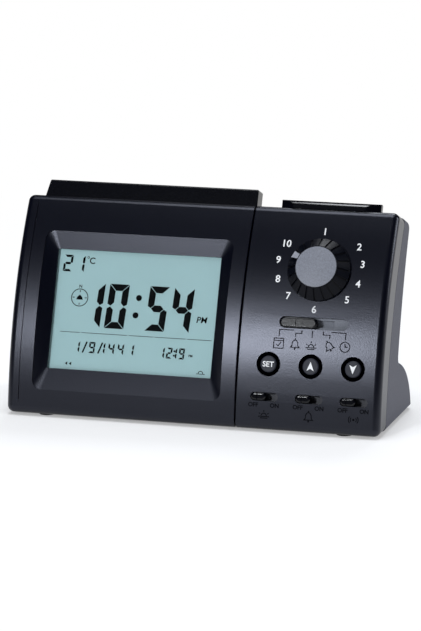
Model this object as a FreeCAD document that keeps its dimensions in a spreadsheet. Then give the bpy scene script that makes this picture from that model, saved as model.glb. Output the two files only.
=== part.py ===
import FreeCAD, Part
import math
import os
import Sketcher

# Azan desk clock: a leaning two-part front moulding round a display and a control panel,
# a rear moulding with a battery foot, two keys on top, and the works inside.
# Millimetres. X runs to the right, Y to the back, Z up. The origin is on the table, under the
# middle of the clock. Every length below can be changed by itself.

SIZES = {
    # case
    "case_width": 165.0,
    "case_depth": 57.45,
    "edge_loss": 0.38,
    "front_radius": 191.2,
    "front_lean": 6.0,
    "front_length": 96.6,
    "top_slope": 22.0,
    "foot_lift": 0.8,
    "wall": 2.0,
    "edge_round": 3.0,
    "seam_depth": 11.5,
    "shut_gap": 0.3,
    "panel_width": 62.65,
    "split_gap": 0.5,
    "split_wall": 1.6,
    "split_round": 0.35,
    "border_inset": 5.7,
    "border_groove": 0.5,
    "rear_inset": 28.3,
    "rear_radius": 285.0,
    "rear_waist": 16.0,
    "waist_bulge": 0.65,
    "rear_round": 3.5,
    "side_round": 2.2,
    "waist_round": 3.0,
    "foot_radius": 26.6,
    "foot_centre_z": 1.8,
    # display
    "display_shift": 2.375,
    "display_s": 46.8,
    "display_sides": 29.35,
    "window_height": 51.7,
    "window_depth": 4.7,
    "window_corner": 1.0,
    "recess_border": 5.55,
    "recess_border_up": 7.55,
    "recess_border_down": 9.55,
    "recess_corner": 4.0,
    "recess_step": 0.5,
    "lip": 0.6,
    "glass_edge": 2.65,
    "glass_edge_up": 2.45,
    "lens_thickness": 1.0,
    "lcd_thickness": 2.2,
    "fit_gap": 0.1,
    "glass_margin": 0.2,
    "frame_border": 4.0,
    "frame_border_up": 3.2,
    "frame_drop": 2.4,
    "holder_thickness": 2.6,
    "light_inset": 0.15,
    "light_inset_up": 4.85,
    "light_thickness": 2.3,
    "zebra_inset": 6.15,
    "zebra_drop": 1.4,
    "zebra_width": 1.8,
    "board_thickness": 1.6,
    "board_space": 0.9,
    "notch_gap": 0.5,
    "board_edge": 4.2,
    "board_edge_up": 2.7,
    "blob_radius": 7.0,
    "blob_height": 2.0,
    "blob_x": -12.0,
    "blob_up": 4.0,
    "crystal_length": 8.0,
    "crystal_width": 3.0,
    "crystal_height": 2.6,
    "crystal_up": 8.0,
    "capacitor_radius": 2.8,
    "capacitor_height": 6.5,
    "capacitor_inset": 12.0,
    "capacitor_pitch": 8.0,
    "capacitor_up": -10.0,
    "plug_length": 16.0,
    "plug_width": 5.0,
    "plug_height": 5.0,
    "plug_inset": 16.0,
    "plug_inset_up": 11.0,
    # controls
    "control_inset": 30.8,
    "knob_s": 69.1,
    "knob_radius": 13.5,
    "knob_cap_radius": 8.6,
    "knob_height": 6.2,
    "knob_gap": 0.35,
    "knob_dome": 0.7,
    "knob_skirt": 1.1,
    "flute_count": 20,
    "flute_depth": 0.7,
    "flute_width": 0.9,
    "knob_rim": 0.5,
    "knob_roof": 1.2,
    "shaft_radius": 3.0,
    "running_gap": 0.06,
    "shaft_hole_radius": 3.8,
    "switch_radius": 10.0,
    "switch_height": 6.5,
    "selector_board_size": 25.0,
    "mode_s": 46.4,
    "mode_slot_length": 29.9,
    "mode_slot_width": 5.0,
    "mode_handle_length": 16.3,
    "mode_travel": 13.2,
    "slide_gap": 0.2,
    "handle_lift": 0.5,
    "stem_length": 3.0,
    "stem_width": 1.8,
    "grip_groove": 0.4,
    "grip_round": 0.8,
    "button_s": 28.3,
    "button_pitch": 18.29,
    "button_hole_radius": 5.2,
    "button_radius": 3.5,
    "button_flange_radius": 6.4,
    "button_flange": 1.0,
    "button_lift": 0.2,
    "button_travel": 0.8,
    "slide_s": 14.5,
    "slide_pitch": 19.39,
    "slide_slot_length": 12.0,
    "slide_slot_width": 3.65,
    "slide_handle_length": 6.6,
    "slide_travel": 5.0,
    "key_board_s": 30.4,
    "key_board_depth": 8.6,
    "key_board_width": 55.6,
    "key_board_height": 43.0,
    "key_post_high": 18.0,
    "key_post_low": 8.0,
    "switch_cover_gap": 0.8,
    "slide_body_length": 15.0,
    "slide_body_width": 5.4,
    "mode_body_length": 36.0,
    "mode_body_width": 7.4,
    "tact_size": 6.0,
    "tact_height": 3.4,
    "plunger_radius": 1.7,
    "plunger_height": 0.9,
    # keys on top
    "bar_inset": 7.6,
    "bar_overlap": 0.35,
    "bar_depth": 6.6,
    "bar_height": 7.1,
    "bar_slant": 1.6,
    "bar_back": 1.6,
    "bar_round": 0.8,
    "key_sink": 0.15,
    "key_travel": 0.8,
    "stop_gap": 0.2,
    "well_gap": 0.3,
    "leg_length": 5.0,
    "leg_width": 4.0,
    "leg_gap": 0.25,
    "leg_reach": 5.5,
    "guide_leg_share": 0.72,
    "key_inset": 30.6,
    "key_length": 43.4,
    "key_depth": 9.6,
    "key_height": 3.9,
    "key_corner_length": 6.0,
    "key_corner_depth": 3.5,
    "key_back": 0.9,
    "key_crown_radius": 6.5,
    "top_board_depth": 3.2,
    "top_board_length": 24.0,
    "top_board_width": 9.0,
    # battery foot
    "cell_radius": 7.25,
    "cell_length": 50.5,
    "nub_radius": 2.75,
    "nub_length": 1.2,
    "spring_length": 6.2,
    "spring_wire": 0.4,
    "spring_radius": 4.25,
    "spring_turns": 4,
    "contact_thickness": 0.4,
    "contact_inset": 2.0,
    "bay_offset": 4.1,
    "cell_gap": 0.4,
    "bay_shelf": 17.5,
    "floor": 2.0,
    "door_thickness": 1.8,
    "door_gap": 0.3,
    "door_top_angle": 68.0,
    "knuckle_radius": 1.5,
    "hinge_pin_radius": 0.8,
    "hinge_pin_length": 1.6,
    "door_open": 80.0,
    # loudspeaker
    "speaker_inset": 34.5,
    "speaker_v": 20.0,
    "speaker_radius": 18.0,
    "speaker_flange": 1.2,
    "speaker_height": 7.5,
    "magnet_radius": 10.0,
    "magnet_height": 3.2,
    "grille_radius": 14.5,
    "grille_slot": 1.6,
    "grille_pitch": 3.4,
    # fasteners and feet
    "boss_radius": 3.2,
    "screw_radius": 1.3,
    "screw_head_radius": 2.6,
    "screw_head_height": 1.8,
    "screw_inset": 6.9,
    "tube_wall": 1.9,
    "screw_high": 35.0,
    "screw_low": 3.5,
    "post_radius": 1.9,
    "screw_fit": 0.03,
    "board_screw_radius": 0.9,
    "board_head_radius": 1.8,
    "board_head_height": 1.2,
    "rubber_radius": 3.6,
    "rubber_sink": 0.7,
    "rubber_inset": 16.5,
    "rubber_front_y": 7.2,
    "rubber_back_inset": 9.25,
}

# Sizes worked out in the sheet from the ones above

LINKS = {
    "split_x": "case_width / 2 - panel_width",
    "border_x": "case_width / 2 - border_inset",
    "screw_x": "case_width / 2 - screw_inset",
    "rubber_x": "case_width / 2 - rubber_inset",
    "speaker_x": "case_width / 2 - speaker_inset",
    "control_x": "case_width / 2 - control_inset",
    "key_x": "case_width / 2 - key_inset",
    "bar_left": "case_width / 2 - bar_inset",
    "bar_right": "split_x + bar_overlap",
    "display_x": "(split_x - case_width / 2) / 2 + display_shift",
    "window_width": "case_width / 2 + split_x - display_sides",
    "recess_width": "window_width + 2 * recess_border",
    "recess_height": "window_height + recess_border_up + recess_border_down",
    "recess_rise": "(recess_border_up - recess_border_down) / 2",
    "glass_width": "window_width + 2 * glass_edge",
    "glass_height": "window_height + 2 * glass_edge_up",
    "light_width": "window_width - 2 * light_inset",
    "light_height": "window_height - 2 * light_inset_up",
    "zebra_length": "window_width - 2 * zebra_inset",
    "main_board_width": "glass_width + 2 * board_edge",
    "main_board_height": "glass_height + 2 * board_edge_up",
    "rear_depth": "case_depth - rear_inset",
    "waist_depth": "rear_depth + waist_bulge",
    "foot_centre_y": "case_depth - sqrt(foot_radius * foot_radius - foot_centre_z * foot_centre_z)",
    "bay_front": "foot_centre_y + bay_offset",
    "rubber_back_y": "case_depth - rubber_back_inset",
}

doc = FreeCAD.newDocument("azan_clock")
sheet = doc.addObject("Spreadsheet::Sheet", "Sizes")
cells = [(alias, str(number)) for alias, number in SIZES.items()]
cells += [(alias, f"={formula}") for alias, formula in LINKS.items()]
for row, (alias, content) in enumerate(cells, start=1):
    sheet.set(f"A{row}", alias)
    sheet.set(f"B{row}", content)
    sheet.setAlias(f"B{row}", alias)
doc.recompute()


class Value:
    """A number together with the sheet expression that gives it."""

    def __init__(self, number, text):
        self.number = float(number)
        self.text = text

    def __add__(self, other):
        other = as_value(other)
        return Value(self.number + other.number, f"({self.text} + {other.text})")

    def __radd__(self, other):
        return as_value(other) + self

    def __sub__(self, other):
        other = as_value(other)
        return Value(self.number - other.number, f"({self.text} - {other.text})")

    def __rsub__(self, other):
        return as_value(other) - self

    def __mul__(self, other):
        other = as_value(other)
        return Value(self.number * other.number, f"{self.text} * {other.text}")

    def __rmul__(self, other):
        return as_value(other) * self

    def __truediv__(self, other):
        other = as_value(other)
        return Value(self.number / other.number, f"({self.text}) / ({other.text})")

    def __neg__(self):
        return Value(-self.number, f"(-1 * {self.text})")


def as_value(thing):
    if isinstance(thing, Value):
        return thing
    return Value(thing, f"({float(thing):.6f})")


def cosine(angle):
    angle = as_value(angle)
    return Value(math.cos(math.radians(angle.number)), f"cos(({angle.text}) * 1 deg)")


def sine(angle):
    angle = as_value(angle)
    return Value(math.sin(math.radians(angle.number)), f"sin(({angle.text}) * 1 deg)")


def root(value):
    return Value(math.sqrt(value.number), f"sqrt({value.text})")


class Sheet:
    """Each size of the sheet, read by its alias."""

    def __getattr__(self, alias):
        return Value(sheet.get(alias), f"Sizes.{alias}")


S = Sheet()


def bind(thing, name, value):
    value = as_value(value)
    setattr(thing, name, value.number)
    if "Sizes." in value.text:
        thing.setExpression(name, value.text)


class Place:
    """A place given by three values and a turn about the X axis."""

    def __init__(self, x, y, z, tilt=0.0):
        self.x = as_value(x)
        self.y = as_value(y)
        self.z = as_value(z)
        self.tilt = as_value(tilt)

    def placement(self):
        base = FreeCAD.Vector(self.x.number, self.y.number, self.z.number)
        return FreeCAD.Placement(base, FreeCAD.Rotation(FreeCAD.Vector(1, 0, 0), self.tilt.number))

    def put(self, thing, name):
        setattr(thing, name, self.placement())
        for axis, value in (("x", self.x), ("y", self.y), ("z", self.z)):
            if "Sizes." in value.text:
                thing.setExpression(f"{name}.Base.{axis}", value.text)
        if "Sizes." in self.tilt.text:
            thing.setExpression(f"{name}.Rotation.Angle", self.tilt.text)


# The clock's own places

DEGREES = 180.0 / math.pi
FRONT_Y = -1 * (S.case_depth + S.edge_loss) / 2
CURVE_Y = FRONT_Y + S.front_radius * cosine(S.front_lean)
CURVE_Z = S.foot_lift - S.front_radius * sine(S.front_lean)


def face_angle(s):
    """Lean of the front face at the distance s up its curve."""
    return S.front_lean + as_value(s) / S.front_radius * DEGREES


def face_point(s, depth):
    """Side-view point at the distance s up the front face and so far behind it."""
    angle = face_angle(s)
    reach = S.front_radius - depth
    return CURVE_Y - reach * cosine(angle), CURVE_Z + reach * sine(angle)


def face_place(x, s, height=0.0):
    """Place on the front face, with its own Z pointing out of the face."""
    y, z = face_point(s, -1 * as_value(height))
    return Place(x, y, z, 90.0 - face_angle(s))


def plane_place(s, x, up, out):
    """Place on the plane that touches the face at s, moved up the plane and out of it."""
    angle = face_angle(s)
    y, z = face_point(s, 0.0)
    y = y + as_value(up) * sine(angle) - as_value(out) * cosine(angle)
    z = z + as_value(up) * cosine(angle) + as_value(out) * sine(angle)
    return Place(x, y, z, 90.0 - angle)


def plane_point(s, up, out):
    place = plane_place(s, 0.0, up, out)
    return place.y, place.z


def display_place(x, up, out):
    return plane_place(S.display_s, S.display_x + x, up, out)


def top_place(x, back, height):
    """Place on the sloping top, so far behind its front corner and above it."""
    y, z = face_point(S.front_length, 0.0)
    y = y + as_value(back) * cosine(S.top_slope) + as_value(height) * sine(S.top_slope)
    z = z - as_value(back) * sine(S.top_slope) + as_value(height) * cosine(S.top_slope)
    return Place(x, y, z, -1 * S.top_slope)


def top_point(back, height):
    place = top_place(0.0, back, height)
    return place.y, place.z


def foot_point(angle, radius):
    """Side-view point at an angle round the middle of the rounded foot."""
    y = FRONT_Y + S.foot_centre_y + radius * cosine(angle)
    z = S.foot_lift - S.foot_centre_z + radius * sine(angle)
    return y, z


# Sketches and features

def new_body(name):
    body = doc.addObject("PartDesign::Body", name)
    body.Label = name
    return body


def new_sketch(body, name, plane="XY_Plane", place=None):
    sketch = body.newObject("Sketcher::SketchObject", name)
    support = [feature for feature in body.Origin.OriginFeatures if feature.Role == plane][0]
    sketch.AttachmentSupport = (support, [""])
    sketch.MapMode = "FlatFace"
    if place is not None:
        place.put(sketch, "AttachmentOffset")
    return sketch


def section_sketch(body, name, x=0.0):
    """A sketch in a side-view plane, drawn in Y and Z, so far along X."""
    return new_sketch(body, name, "YZ_Plane", Place(0.0, 0.0, x))


def constrain(sketch, value, *references):
    value = as_value(value)
    index = sketch.addConstraint(Sketcher.Constraint(*references, value.number))
    if "Sizes." in value.text:
        sketch.setExpression(f"Constraints[{index}]", value.text)


def pin(sketch, geometry, position, x, y):
    constrain(sketch, x, "DistanceX", -1, 1, geometry, position)
    constrain(sketch, y, "DistanceY", -1, 1, geometry, position)


def vector(x, y):
    return FreeCAD.Vector(as_value(x).number, as_value(y).number, 0)


def draw_circle(sketch, x, y, radius):
    radius = as_value(radius)
    circle = Part.Circle(vector(x, y), FreeCAD.Vector(0, 0, 1), radius.number)
    index = sketch.addGeometry(circle, False)
    pin(sketch, index, 3, x, y)
    constrain(sketch, radius, "Radius", index)


def draw_outline(sketch, corners):
    """A closed loop. A corner is (x, y), or (x, y, radius) where an arc follows it: a radius
    above zero bulges to the right of the way round, one below zero to the left."""
    count = len(corners)
    ends = []
    for number in range(count):
        first = corners[number]
        last = corners[(number + 1) % count]
        start = vector(first[0], first[1])
        finish = vector(last[0], last[1])
        if len(first) == 2:
            index = sketch.addGeometry(Part.LineSegment(start, finish), False)
            ends.append((index, 1, 2))
        else:
            radius = as_value(first[2])
            size = abs(radius.number)
            side = math.copysign(1.0, radius.number)
            chord = finish - start
            middle = (start + finish) * 0.5
            left = FreeCAD.Vector(-chord.y, chord.x, 0).normalize()
            rise = math.sqrt(size ** 2 - (chord.Length / 2) ** 2)
            centre = middle + left * (side * rise)
            from_angle = math.atan2(start.y - centre.y, start.x - centre.x)
            to_angle = math.atan2(finish.y - centre.y, finish.x - centre.x)
            circle = Part.Circle(centre, FreeCAD.Vector(0, 0, 1), size)
            if side > 0:
                arc = Part.ArcOfCircle(circle, from_angle, to_angle)
                order = (1, 2)
            else:
                arc = Part.ArcOfCircle(circle, to_angle, from_angle)
                order = (2, 1)
            index = sketch.addGeometry(arc, False)
            ends.append((index, order[0], order[1]))
            constrain(sketch, radius if side > 0 else -1 * radius, "Radius", index)
    for number in range(count):
        index, _, finish = ends[number]
        following, start, _ = ends[(number + 1) % count]
        sketch.addConstraint(Sketcher.Constraint("Coincident", index, finish, following, start))
    for (index, start, _), corner in zip(ends, corners):
        pin(sketch, index, start, corner[0], corner[1])


def draw_rectangle(sketch, x, y, width, height):
    x = as_value(x)
    y = as_value(y)
    half_width = as_value(width) / 2
    half_height = as_value(height) / 2
    draw_outline(sketch, [
        (x - half_width, y - half_height),
        (x + half_width, y - half_height),
        (x + half_width, y + half_height),
        (x - half_width, y + half_height),
    ])


def draw_slot(sketch, x, y, length, width):
    """A slot along X with round ends."""
    x = as_value(x)
    y = as_value(y)
    radius = as_value(width) / 2
    reach = as_value(length) / 2 - radius
    up = FreeCAD.Vector(0, 0, 1)
    right = Part.Circle(vector(x + reach, y), up, radius.number)
    left = Part.Circle(vector(x - reach, y), up, radius.number)
    ends = [
        sketch.addGeometry(Part.ArcOfCircle(right, -math.pi / 2, math.pi / 2), False),
        sketch.addGeometry(Part.ArcOfCircle(left, math.pi / 2, 3 * math.pi / 2), False),
    ]
    upper = Part.LineSegment(vector(x + reach, y + radius), vector(x - reach, y + radius))
    lower = Part.LineSegment(vector(x - reach, y - radius), vector(x + reach, y - radius))
    sides = [sketch.addGeometry(upper, False), sketch.addGeometry(lower, False)]
    sketch.addConstraint(Sketcher.Constraint("Tangent", ends[0], 2, sides[0], 1))
    sketch.addConstraint(Sketcher.Constraint("Tangent", sides[0], 2, ends[1], 1))
    sketch.addConstraint(Sketcher.Constraint("Tangent", ends[1], 2, sides[1], 1))
    sketch.addConstraint(Sketcher.Constraint("Tangent", sides[1], 2, ends[0], 1))
    sketch.addConstraint(Sketcher.Constraint("Equal", ends[0], ends[1]))
    pin(sketch, ends[0], 3, x + reach, y)
    pin(sketch, ends[1], 3, x - reach, y)
    constrain(sketch, radius, "Radius", ends[0])


def feature(body, kind, sketch, length, middle=False, backwards=False):
    made = body.newObject(f"PartDesign::{kind}", f"{sketch.Name}_{kind.lower()}")
    made.Profile = sketch
    bind(made, "Length", length)
    made.Midplane = middle
    made.Reversed = backwards
    return made


def pad(body, sketch, length, middle=False, backwards=False):
    return feature(body, "Pad", sketch, length, middle, backwards)


def pocket(body, sketch, length, middle=False, backwards=False):
    """Cuts against the sketch's own Z unless it is turned round, and checks that it cut."""
    doc.recompute()
    before = body.Shape.Volume
    made = feature(body, "Pocket", sketch, length, middle, backwards)
    doc.recompute()
    if body.Shape.Volume > before - 1e-3:
        raise RuntimeError(f"{made.Name} cuts nothing")
    return made


def round_edges(body, name, radius, wanted, kind="Fillet"):
    """Rounds the edges of the body so far for which the test holds."""
    doc.recompute()
    tip = body.Tip
    names = [f"Edge{i + 1}" for i, edge in enumerate(tip.Shape.Edges) if wanted(edge)]
    if not names:
        raise RuntimeError(f"{name} finds no edge")
    made = body.newObject(f"PartDesign::{kind}", name)
    made.Base = (tip, names)
    bind(made, "Radius" if kind == "Fillet" else "Size", radius)
    doc.recompute()
    return made


def cut_holes(body, name, place, draw, depth):
    """A pocket from a place on the body, cut inwards; draw fills the sketch."""
    sketch = new_sketch(body, name, place=place)
    draw(sketch)
    return pocket(body, sketch, depth)


def add_post(body, name, place, radius, length):
    """A round post that grows inwards from a place inside the wall."""
    sketch = new_sketch(body, name, place=place)
    draw_circle(sketch, 0.0, 0.0, radius)
    return pad(body, sketch, length, backwards=True)


# Part solids

def set_place(thing, place):
    place.put(thing, "Placement")


def box(name, width, depth, height, place):
    """A box centred on its place in its own X and Y, rising along its own Z."""
    made = doc.addObject("Part::Box", name)
    bind(made, "Length", width)
    bind(made, "Width", depth)
    bind(made, "Height", height)
    doc.recompute()
    corner = Place(place.x - as_value(width) / 2,
                   place.y - as_value(depth) / 2 * cosine(place.tilt),
                   place.z - as_value(depth) / 2 * sine(place.tilt),
                   place.tilt)
    set_place(made, corner)
    return made


def cylinder(name, radius, height, place):
    made = doc.addObject("Part::Cylinder", name)
    bind(made, "Radius", radius)
    bind(made, "Height", height)
    set_place(made, place)
    return made


def bar_along_x(name, radius, length, x, y, z):
    """A round bar that runs along X from its place."""
    made = doc.addObject("Part::Cylinder", name)
    bind(made, "Radius", radius)
    bind(made, "Height", length)
    lay_along_x(made, x, y, z)
    return made


def lay_along_x(thing, x, y, z):
    """Turns a piece's own Z along X, from the place given."""
    base = FreeCAD.Vector(as_value(x).number, as_value(y).number, as_value(z).number)
    thing.Placement = FreeCAD.Placement(base, FreeCAD.Rotation(FreeCAD.Vector(0, 1, 0), 90))
    for axis, value in (("x", as_value(x)), ("y", as_value(y)), ("z", as_value(z))):
        if "Sizes." in value.text:
            thing.setExpression(f"Placement.Base.{axis}", value.text)


def fuse(name, solids):
    made = doc.addObject("Part::MultiFuse", name)
    made.Shapes = solids
    made.Label = name
    return made


def cut(name, base, tool):
    made = doc.addObject("Part::Cut", name)
    made.Base = base
    made.Tool = tool
    made.Label = name
    return made


def group(name, solids):
    made = doc.addObject("Part::Compound", name)
    made.Links = solids
    made.Label = name
    return made


PIECES = {}


def keep(thing, name):
    """Keeps a finished piece under its own name."""
    thing.Label = name
    PIECES[name] = thing
    return thing


# Front mouldings

HALF = S.case_width / 2
SEAM_REACH = S.front_radius - S.seam_depth
BLOCK_DEPTH = S.window_depth + S.lip + S.lens_thickness + S.lcd_thickness + 2 * S.fit_gap
HOLDER_DEPTH = BLOCK_DEPTH + S.fit_gap
BOARD_DEPTH = HOLDER_DEPTH + S.holder_thickness + S.board_space


def level_point(reach, level):
    """Where the curve of that radius round the face's middle crosses a level above the floor."""
    z = S.foot_lift + level
    drop = z - CURVE_Z
    return CURVE_Y - root(reach * reach - drop * drop), z


def top_crossing(depth, below):
    """Where the curve at a depth behind the face crosses a line under the sloping top."""
    y, z = top_point(0.0, -1 * as_value(below))
    to_y = CURVE_Y - y
    to_z = z - CURVE_Z
    reach = S.front_radius - depth
    half = to_y * cosine(S.top_slope) + to_z * sine(S.top_slope)
    back = half - root(half * half - (to_y * to_y + to_z * to_z - reach * reach))
    return y + back * cosine(S.top_slope), z - back * sine(S.top_slope)


def tray_section(outer_depth, inner_depth, inset):
    """Side view of a curved slab: outside arc, top, inside arc and floor."""
    outer = S.front_radius - outer_depth
    inner = S.front_radius - inner_depth
    low_outer = level_point(outer, inset)
    low_inner = level_point(inner, inset)
    high_outer = top_crossing(outer_depth, inset)
    high_inner = top_crossing(inner_depth, inset)
    return [
        (low_outer[0], low_outer[1]),
        (low_inner[0], low_inner[1], -1 * inner),
        (high_inner[0], high_inner[1]),
        (high_outer[0], high_outer[1], outer),
    ]


def face_distance(point):
    """How far a point lies behind the front face's curve."""
    reach = math.hypot(point.y - CURVE_Y.number, point.z - CURVE_Z.number)
    return S.front_radius.number - reach


def front_tray(name, low_x, high_x, side_x):
    """One half of the front moulding: a curved tray, open at the back, rounded outside."""
    body = new_body(name)
    outline = section_sketch(body, f"{name}_section", low_x)
    draw_outline(outline, tray_section(as_value(0.0), S.seam_depth, as_value(0.0)))
    pad(body, outline, high_x - low_x)

    def outside(edge):
        points = [vertex.Point for vertex in edge.Vertexes]
        on_side = all(abs(point.x - side_x.number) < 1e-4 for point in points)
        on_front = all(abs(face_distance(point)) < 1e-4 for point in points)
        on_seam = all(abs(face_distance(point) - S.seam_depth.number) < 1e-4 for point in points)
        runs_across = abs(points[0].x - points[-1].x) > 1.0
        return (on_side and not on_seam) or (on_front and runs_across)

    round_edges(body, f"{name}_round", S.edge_round, outside)

    def at_split(edge):
        points = [vertex.Point for vertex in edge.Vertexes]
        off_side = all(abs(point.x - side_x.number) > 1.0 for point in points)
        one_x = abs(points[0].x - points[-1].x) < 1e-4
        return off_side and one_x and all(face_distance(point) < 0.5 for point in points)

    round_edges(body, f"{name}_split_round", S.split_round, at_split)
    if side_x.number < 0:
        inner_low = low_x + S.wall
        inner_high = high_x - S.split_wall
    else:
        inner_low = low_x + S.split_wall
        inner_high = high_x - S.wall
    hollow = section_sketch(body, f"{name}_hollow", inner_low)
    draw_outline(hollow, tray_section(S.wall, S.seam_depth + 1.0, S.wall))
    pocket(body, hollow, inner_high - inner_low, backwards=True)
    return body


def build_display_bezel():
    """Left half, with the block that carries the display and the recess round it."""
    split = S.split_x - S.split_gap / 2
    body = front_tray("display_bezel_blank", -1 * HALF, split, -1 * HALF)

    half_height = S.glass_height / 2 + S.glass_margin + S.frame_border_up
    low_up = -1 * (half_height + S.frame_drop)
    block = section_sketch(body, "display_block", S.display_x - block_width() / 2)
    low = plane_point(S.display_s, low_up, -1 * BLOCK_DEPTH)
    high = plane_point(S.display_s, half_height, -1 * BLOCK_DEPTH)
    sag = S.front_radius - S.wall / 2
    low_face = plane_point(S.display_s, low_up, root(sag * sag - low_up * low_up) - S.front_radius)
    high_face = plane_point(S.display_s, half_height,
                            root(sag * sag - half_height * half_height) - S.front_radius)
    draw_outline(block, [
        (low_face[0], low_face[1]),
        (low[0], low[1]),
        (high[0], high[1]),
        (high_face[0], high_face[1], sag),
    ])
    pad(body, block, block_width())

    window_front = 0.2 - S.window_depth
    cut_holes(body, "display_window", display_place(0.0, 0.0, window_front),
              lambda sketch: draw_rectangle(sketch, 0.0, 0.0, S.window_width, S.window_height),
              BLOCK_DEPTH)
    pane_width = S.glass_width + 2 * S.glass_margin
    pane_height = S.glass_height + 2 * S.glass_margin
    cut_holes(body, "pane_pocket", display_place(0.0, 0.0, -1 * (S.window_depth + S.lip)),
              lambda sketch: draw_rectangle(sketch, 0.0, 0.0, pane_width, pane_height),
              BLOCK_DEPTH)

    groove = section_sketch(body, "border_groove", -1 * S.border_x)
    draw_outline(groove, groove_section())
    pocket(body, groove, S.border_groove, middle=True)

    cut_bar_well(body, "bezel_bar_well")
    cut_key_holes(body, "snooze", BAR_X, BAR_BACK, BAR_LEG_X)
    add_key_posts(body, "snooze", BAR_X, BAR_BACK)
    for number, (x, up) in enumerate(MAIN_POSTS, start=1):
        start = 1.0 - BLOCK_DEPTH
        add_post(body, f"main_post_{number}", display_place(x, up, start), S.post_radius,
                 BOARD_DEPTH + start)
        drill_post(body, f"main_post_{number}", display_place(x, up, -1 * BOARD_DEPTH))
    add_case_bosses(body, "display", -1)
    sink_front_foot(body, "display", -1)
    doc.recompute()

    recess = recess_cutter()
    bezel = cut("display_bezel", body, recess)
    return keep(bezel, "display_bezel")


def block_width():
    return S.glass_width + 2 * S.glass_margin + 2 * S.frame_border


def groove_section():
    """A thin strip of the curved face, from near its foot to near its top."""
    start = as_value(2 * S.edge_round)
    end = S.front_length - S.edge_round
    shallow = -1 * S.border_groove
    low_out = face_point(start, shallow)
    low_in = face_point(start, S.border_groove)
    high_in = face_point(end, S.border_groove)
    high_out = face_point(end, shallow)
    return [
        (low_out[0], low_out[1]),
        (low_in[0], low_in[1], -1 * (S.front_radius - S.border_groove)),
        (high_in[0], high_in[1]),
        (high_out[0], high_out[1], S.front_radius + S.border_groove),
    ]


def display_vector(x, up, out):
    return display_place(x, up, out).placement().Base


def rounded_loop(width, height, corner, rise, out_at):
    """A wire round a rectangle with round corners, its middle raised by rise; out_at gives how
    far out each point lies."""
    half_width = width / 2
    half_height = height / 2
    share = 1.0 - math.sqrt(0.5)
    edges = []

    def spot(x, up):
        return display_vector(x, rise + up, out_at(rise + up))

    for turn_x, turn_up in ((1, 1), (-1, 1), (-1, -1), (1, -1)):
        corner_x = turn_x * half_width
        corner_up = turn_up * half_height
        in_x = corner_x - turn_x * corner
        in_up = corner_up - turn_up * corner
        middle = spot(corner_x - turn_x * share * corner, corner_up - turn_up * share * corner)
        upright_end = spot(corner_x, in_up)
        level_end = spot(in_x, corner_up)
        bend = [upright_end, middle, level_end]
        if turn_x == turn_up:
            side = [spot(corner_x, -in_up), spot(corner_x, 0.0), upright_end]
            edges.append(Part.Arc(*side).toShape() if out_at(0.0) != out_at(half_height)
                         else Part.LineSegment(side[0], side[2]).toShape())
            edges.append(Part.Arc(*bend).toShape())
        else:
            edges.append(Part.LineSegment(spot(-in_x, corner_up), level_end).toShape())
            edges.append(Part.Arc(*bend[::-1]).toShape())
    return Part.Wire(edges)


def recess_cutter():
    """What the display recess takes away: a short straight step under the curved face, then
    slopes that twist from the curved outline to the flat window."""
    radius = S.front_radius.number - S.recess_step.number

    def on_curve(up):
        return math.sqrt(radius ** 2 - up ** 2) - S.front_radius.number

    width = S.recess_width.number
    height = S.recess_height.number
    corner = S.recess_corner.number
    rise = S.recess_rise.number
    window = (S.window_width.number, S.window_height.number, S.window_corner.number)
    loops = [
        ("recess_mouth", rounded_loop(width, height, corner, rise, lambda up: S.wall.number)),
        ("recess_edge", rounded_loop(width, height, corner, rise, on_curve)),
        ("recess_floor", rounded_loop(*window, 0.0, lambda up: -S.window_depth.number)),
    ]
    sections = []
    for name, wire in loops:
        section = doc.addObject("Part::Feature", name)
        section.Shape = wire
        sections.append(section)
    recess = doc.addObject("Part::Loft", "recess_cutter")
    recess.Sections = sections
    recess.Solid = True
    recess.Ruled = True
    return recess


# Places shared by the mouldings and what they carry

BAR_X = (S.bar_right - S.bar_left) / 2
BAR_LENGTH = S.bar_left + S.bar_right
BAR_BACK = S.bar_back + S.bar_depth / 2
KEY_BACK = S.key_back + S.key_depth / 2
BAR_LEG_X = S.guide_leg_share * BAR_LENGTH / 2
KEY_LEG_X = S.guide_leg_share * S.key_length / 2
TACT_REACH = S.tact_height + S.plunger_height
TOP_BOARD_DEPTH = S.leg_reach + S.key_travel + S.stop_gap + TACT_REACH
WELL_DEPTH = S.key_sink + S.key_travel + S.stop_gap
WELL_RIM = as_value(1.0)
TUBE_RADIUS = S.screw_head_radius + S.tube_wall
POST_IN = S.post_radius + 0.1
MAIN_POST_X = block_width() / 2 - POST_IN
MAIN_POST_UP = S.glass_height / 2 - S.frame_border
MAIN_POSTS = [(x * MAIN_POST_X, up * MAIN_POST_UP) for x in (-1, 1) for up in (-1, 1)]
KEY_POST_X = S.key_board_width / 2 - 2.5
KEY_POSTS = [(x * KEY_POST_X, up) for up in (S.key_post_high, -1 * S.key_post_low) for x in (-1, 1)]
SELECTOR_POST = S.selector_board_size / 2 - POST_IN - 0.8
SELECTOR_POSTS = [(x * SELECTOR_POST, up * SELECTOR_POST) for x in (-1, 1) for up in (-1, 1)]
SELECTOR_DEPTH = S.wall + 0.4 + S.switch_height
KEY_POST_OFF = S.top_board_length / 2 - POST_IN - 0.6
CASE_SCREWS = [(side, up) for side in (-1, 1) for up in (S.screw_high, -1 * S.screw_low)]
BUTTON_XS = [S.control_x - S.button_pitch, S.control_x, S.control_x + S.button_pitch]
SLIDE_XS = [S.control_x - S.slide_pitch, S.control_x, S.control_x + S.slide_pitch]


def sagitta(up, radius):
    """How far a curve of that radius falls away from its tangent at the distance up."""
    return radius - root(radius * radius - as_value(up) * up)


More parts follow.
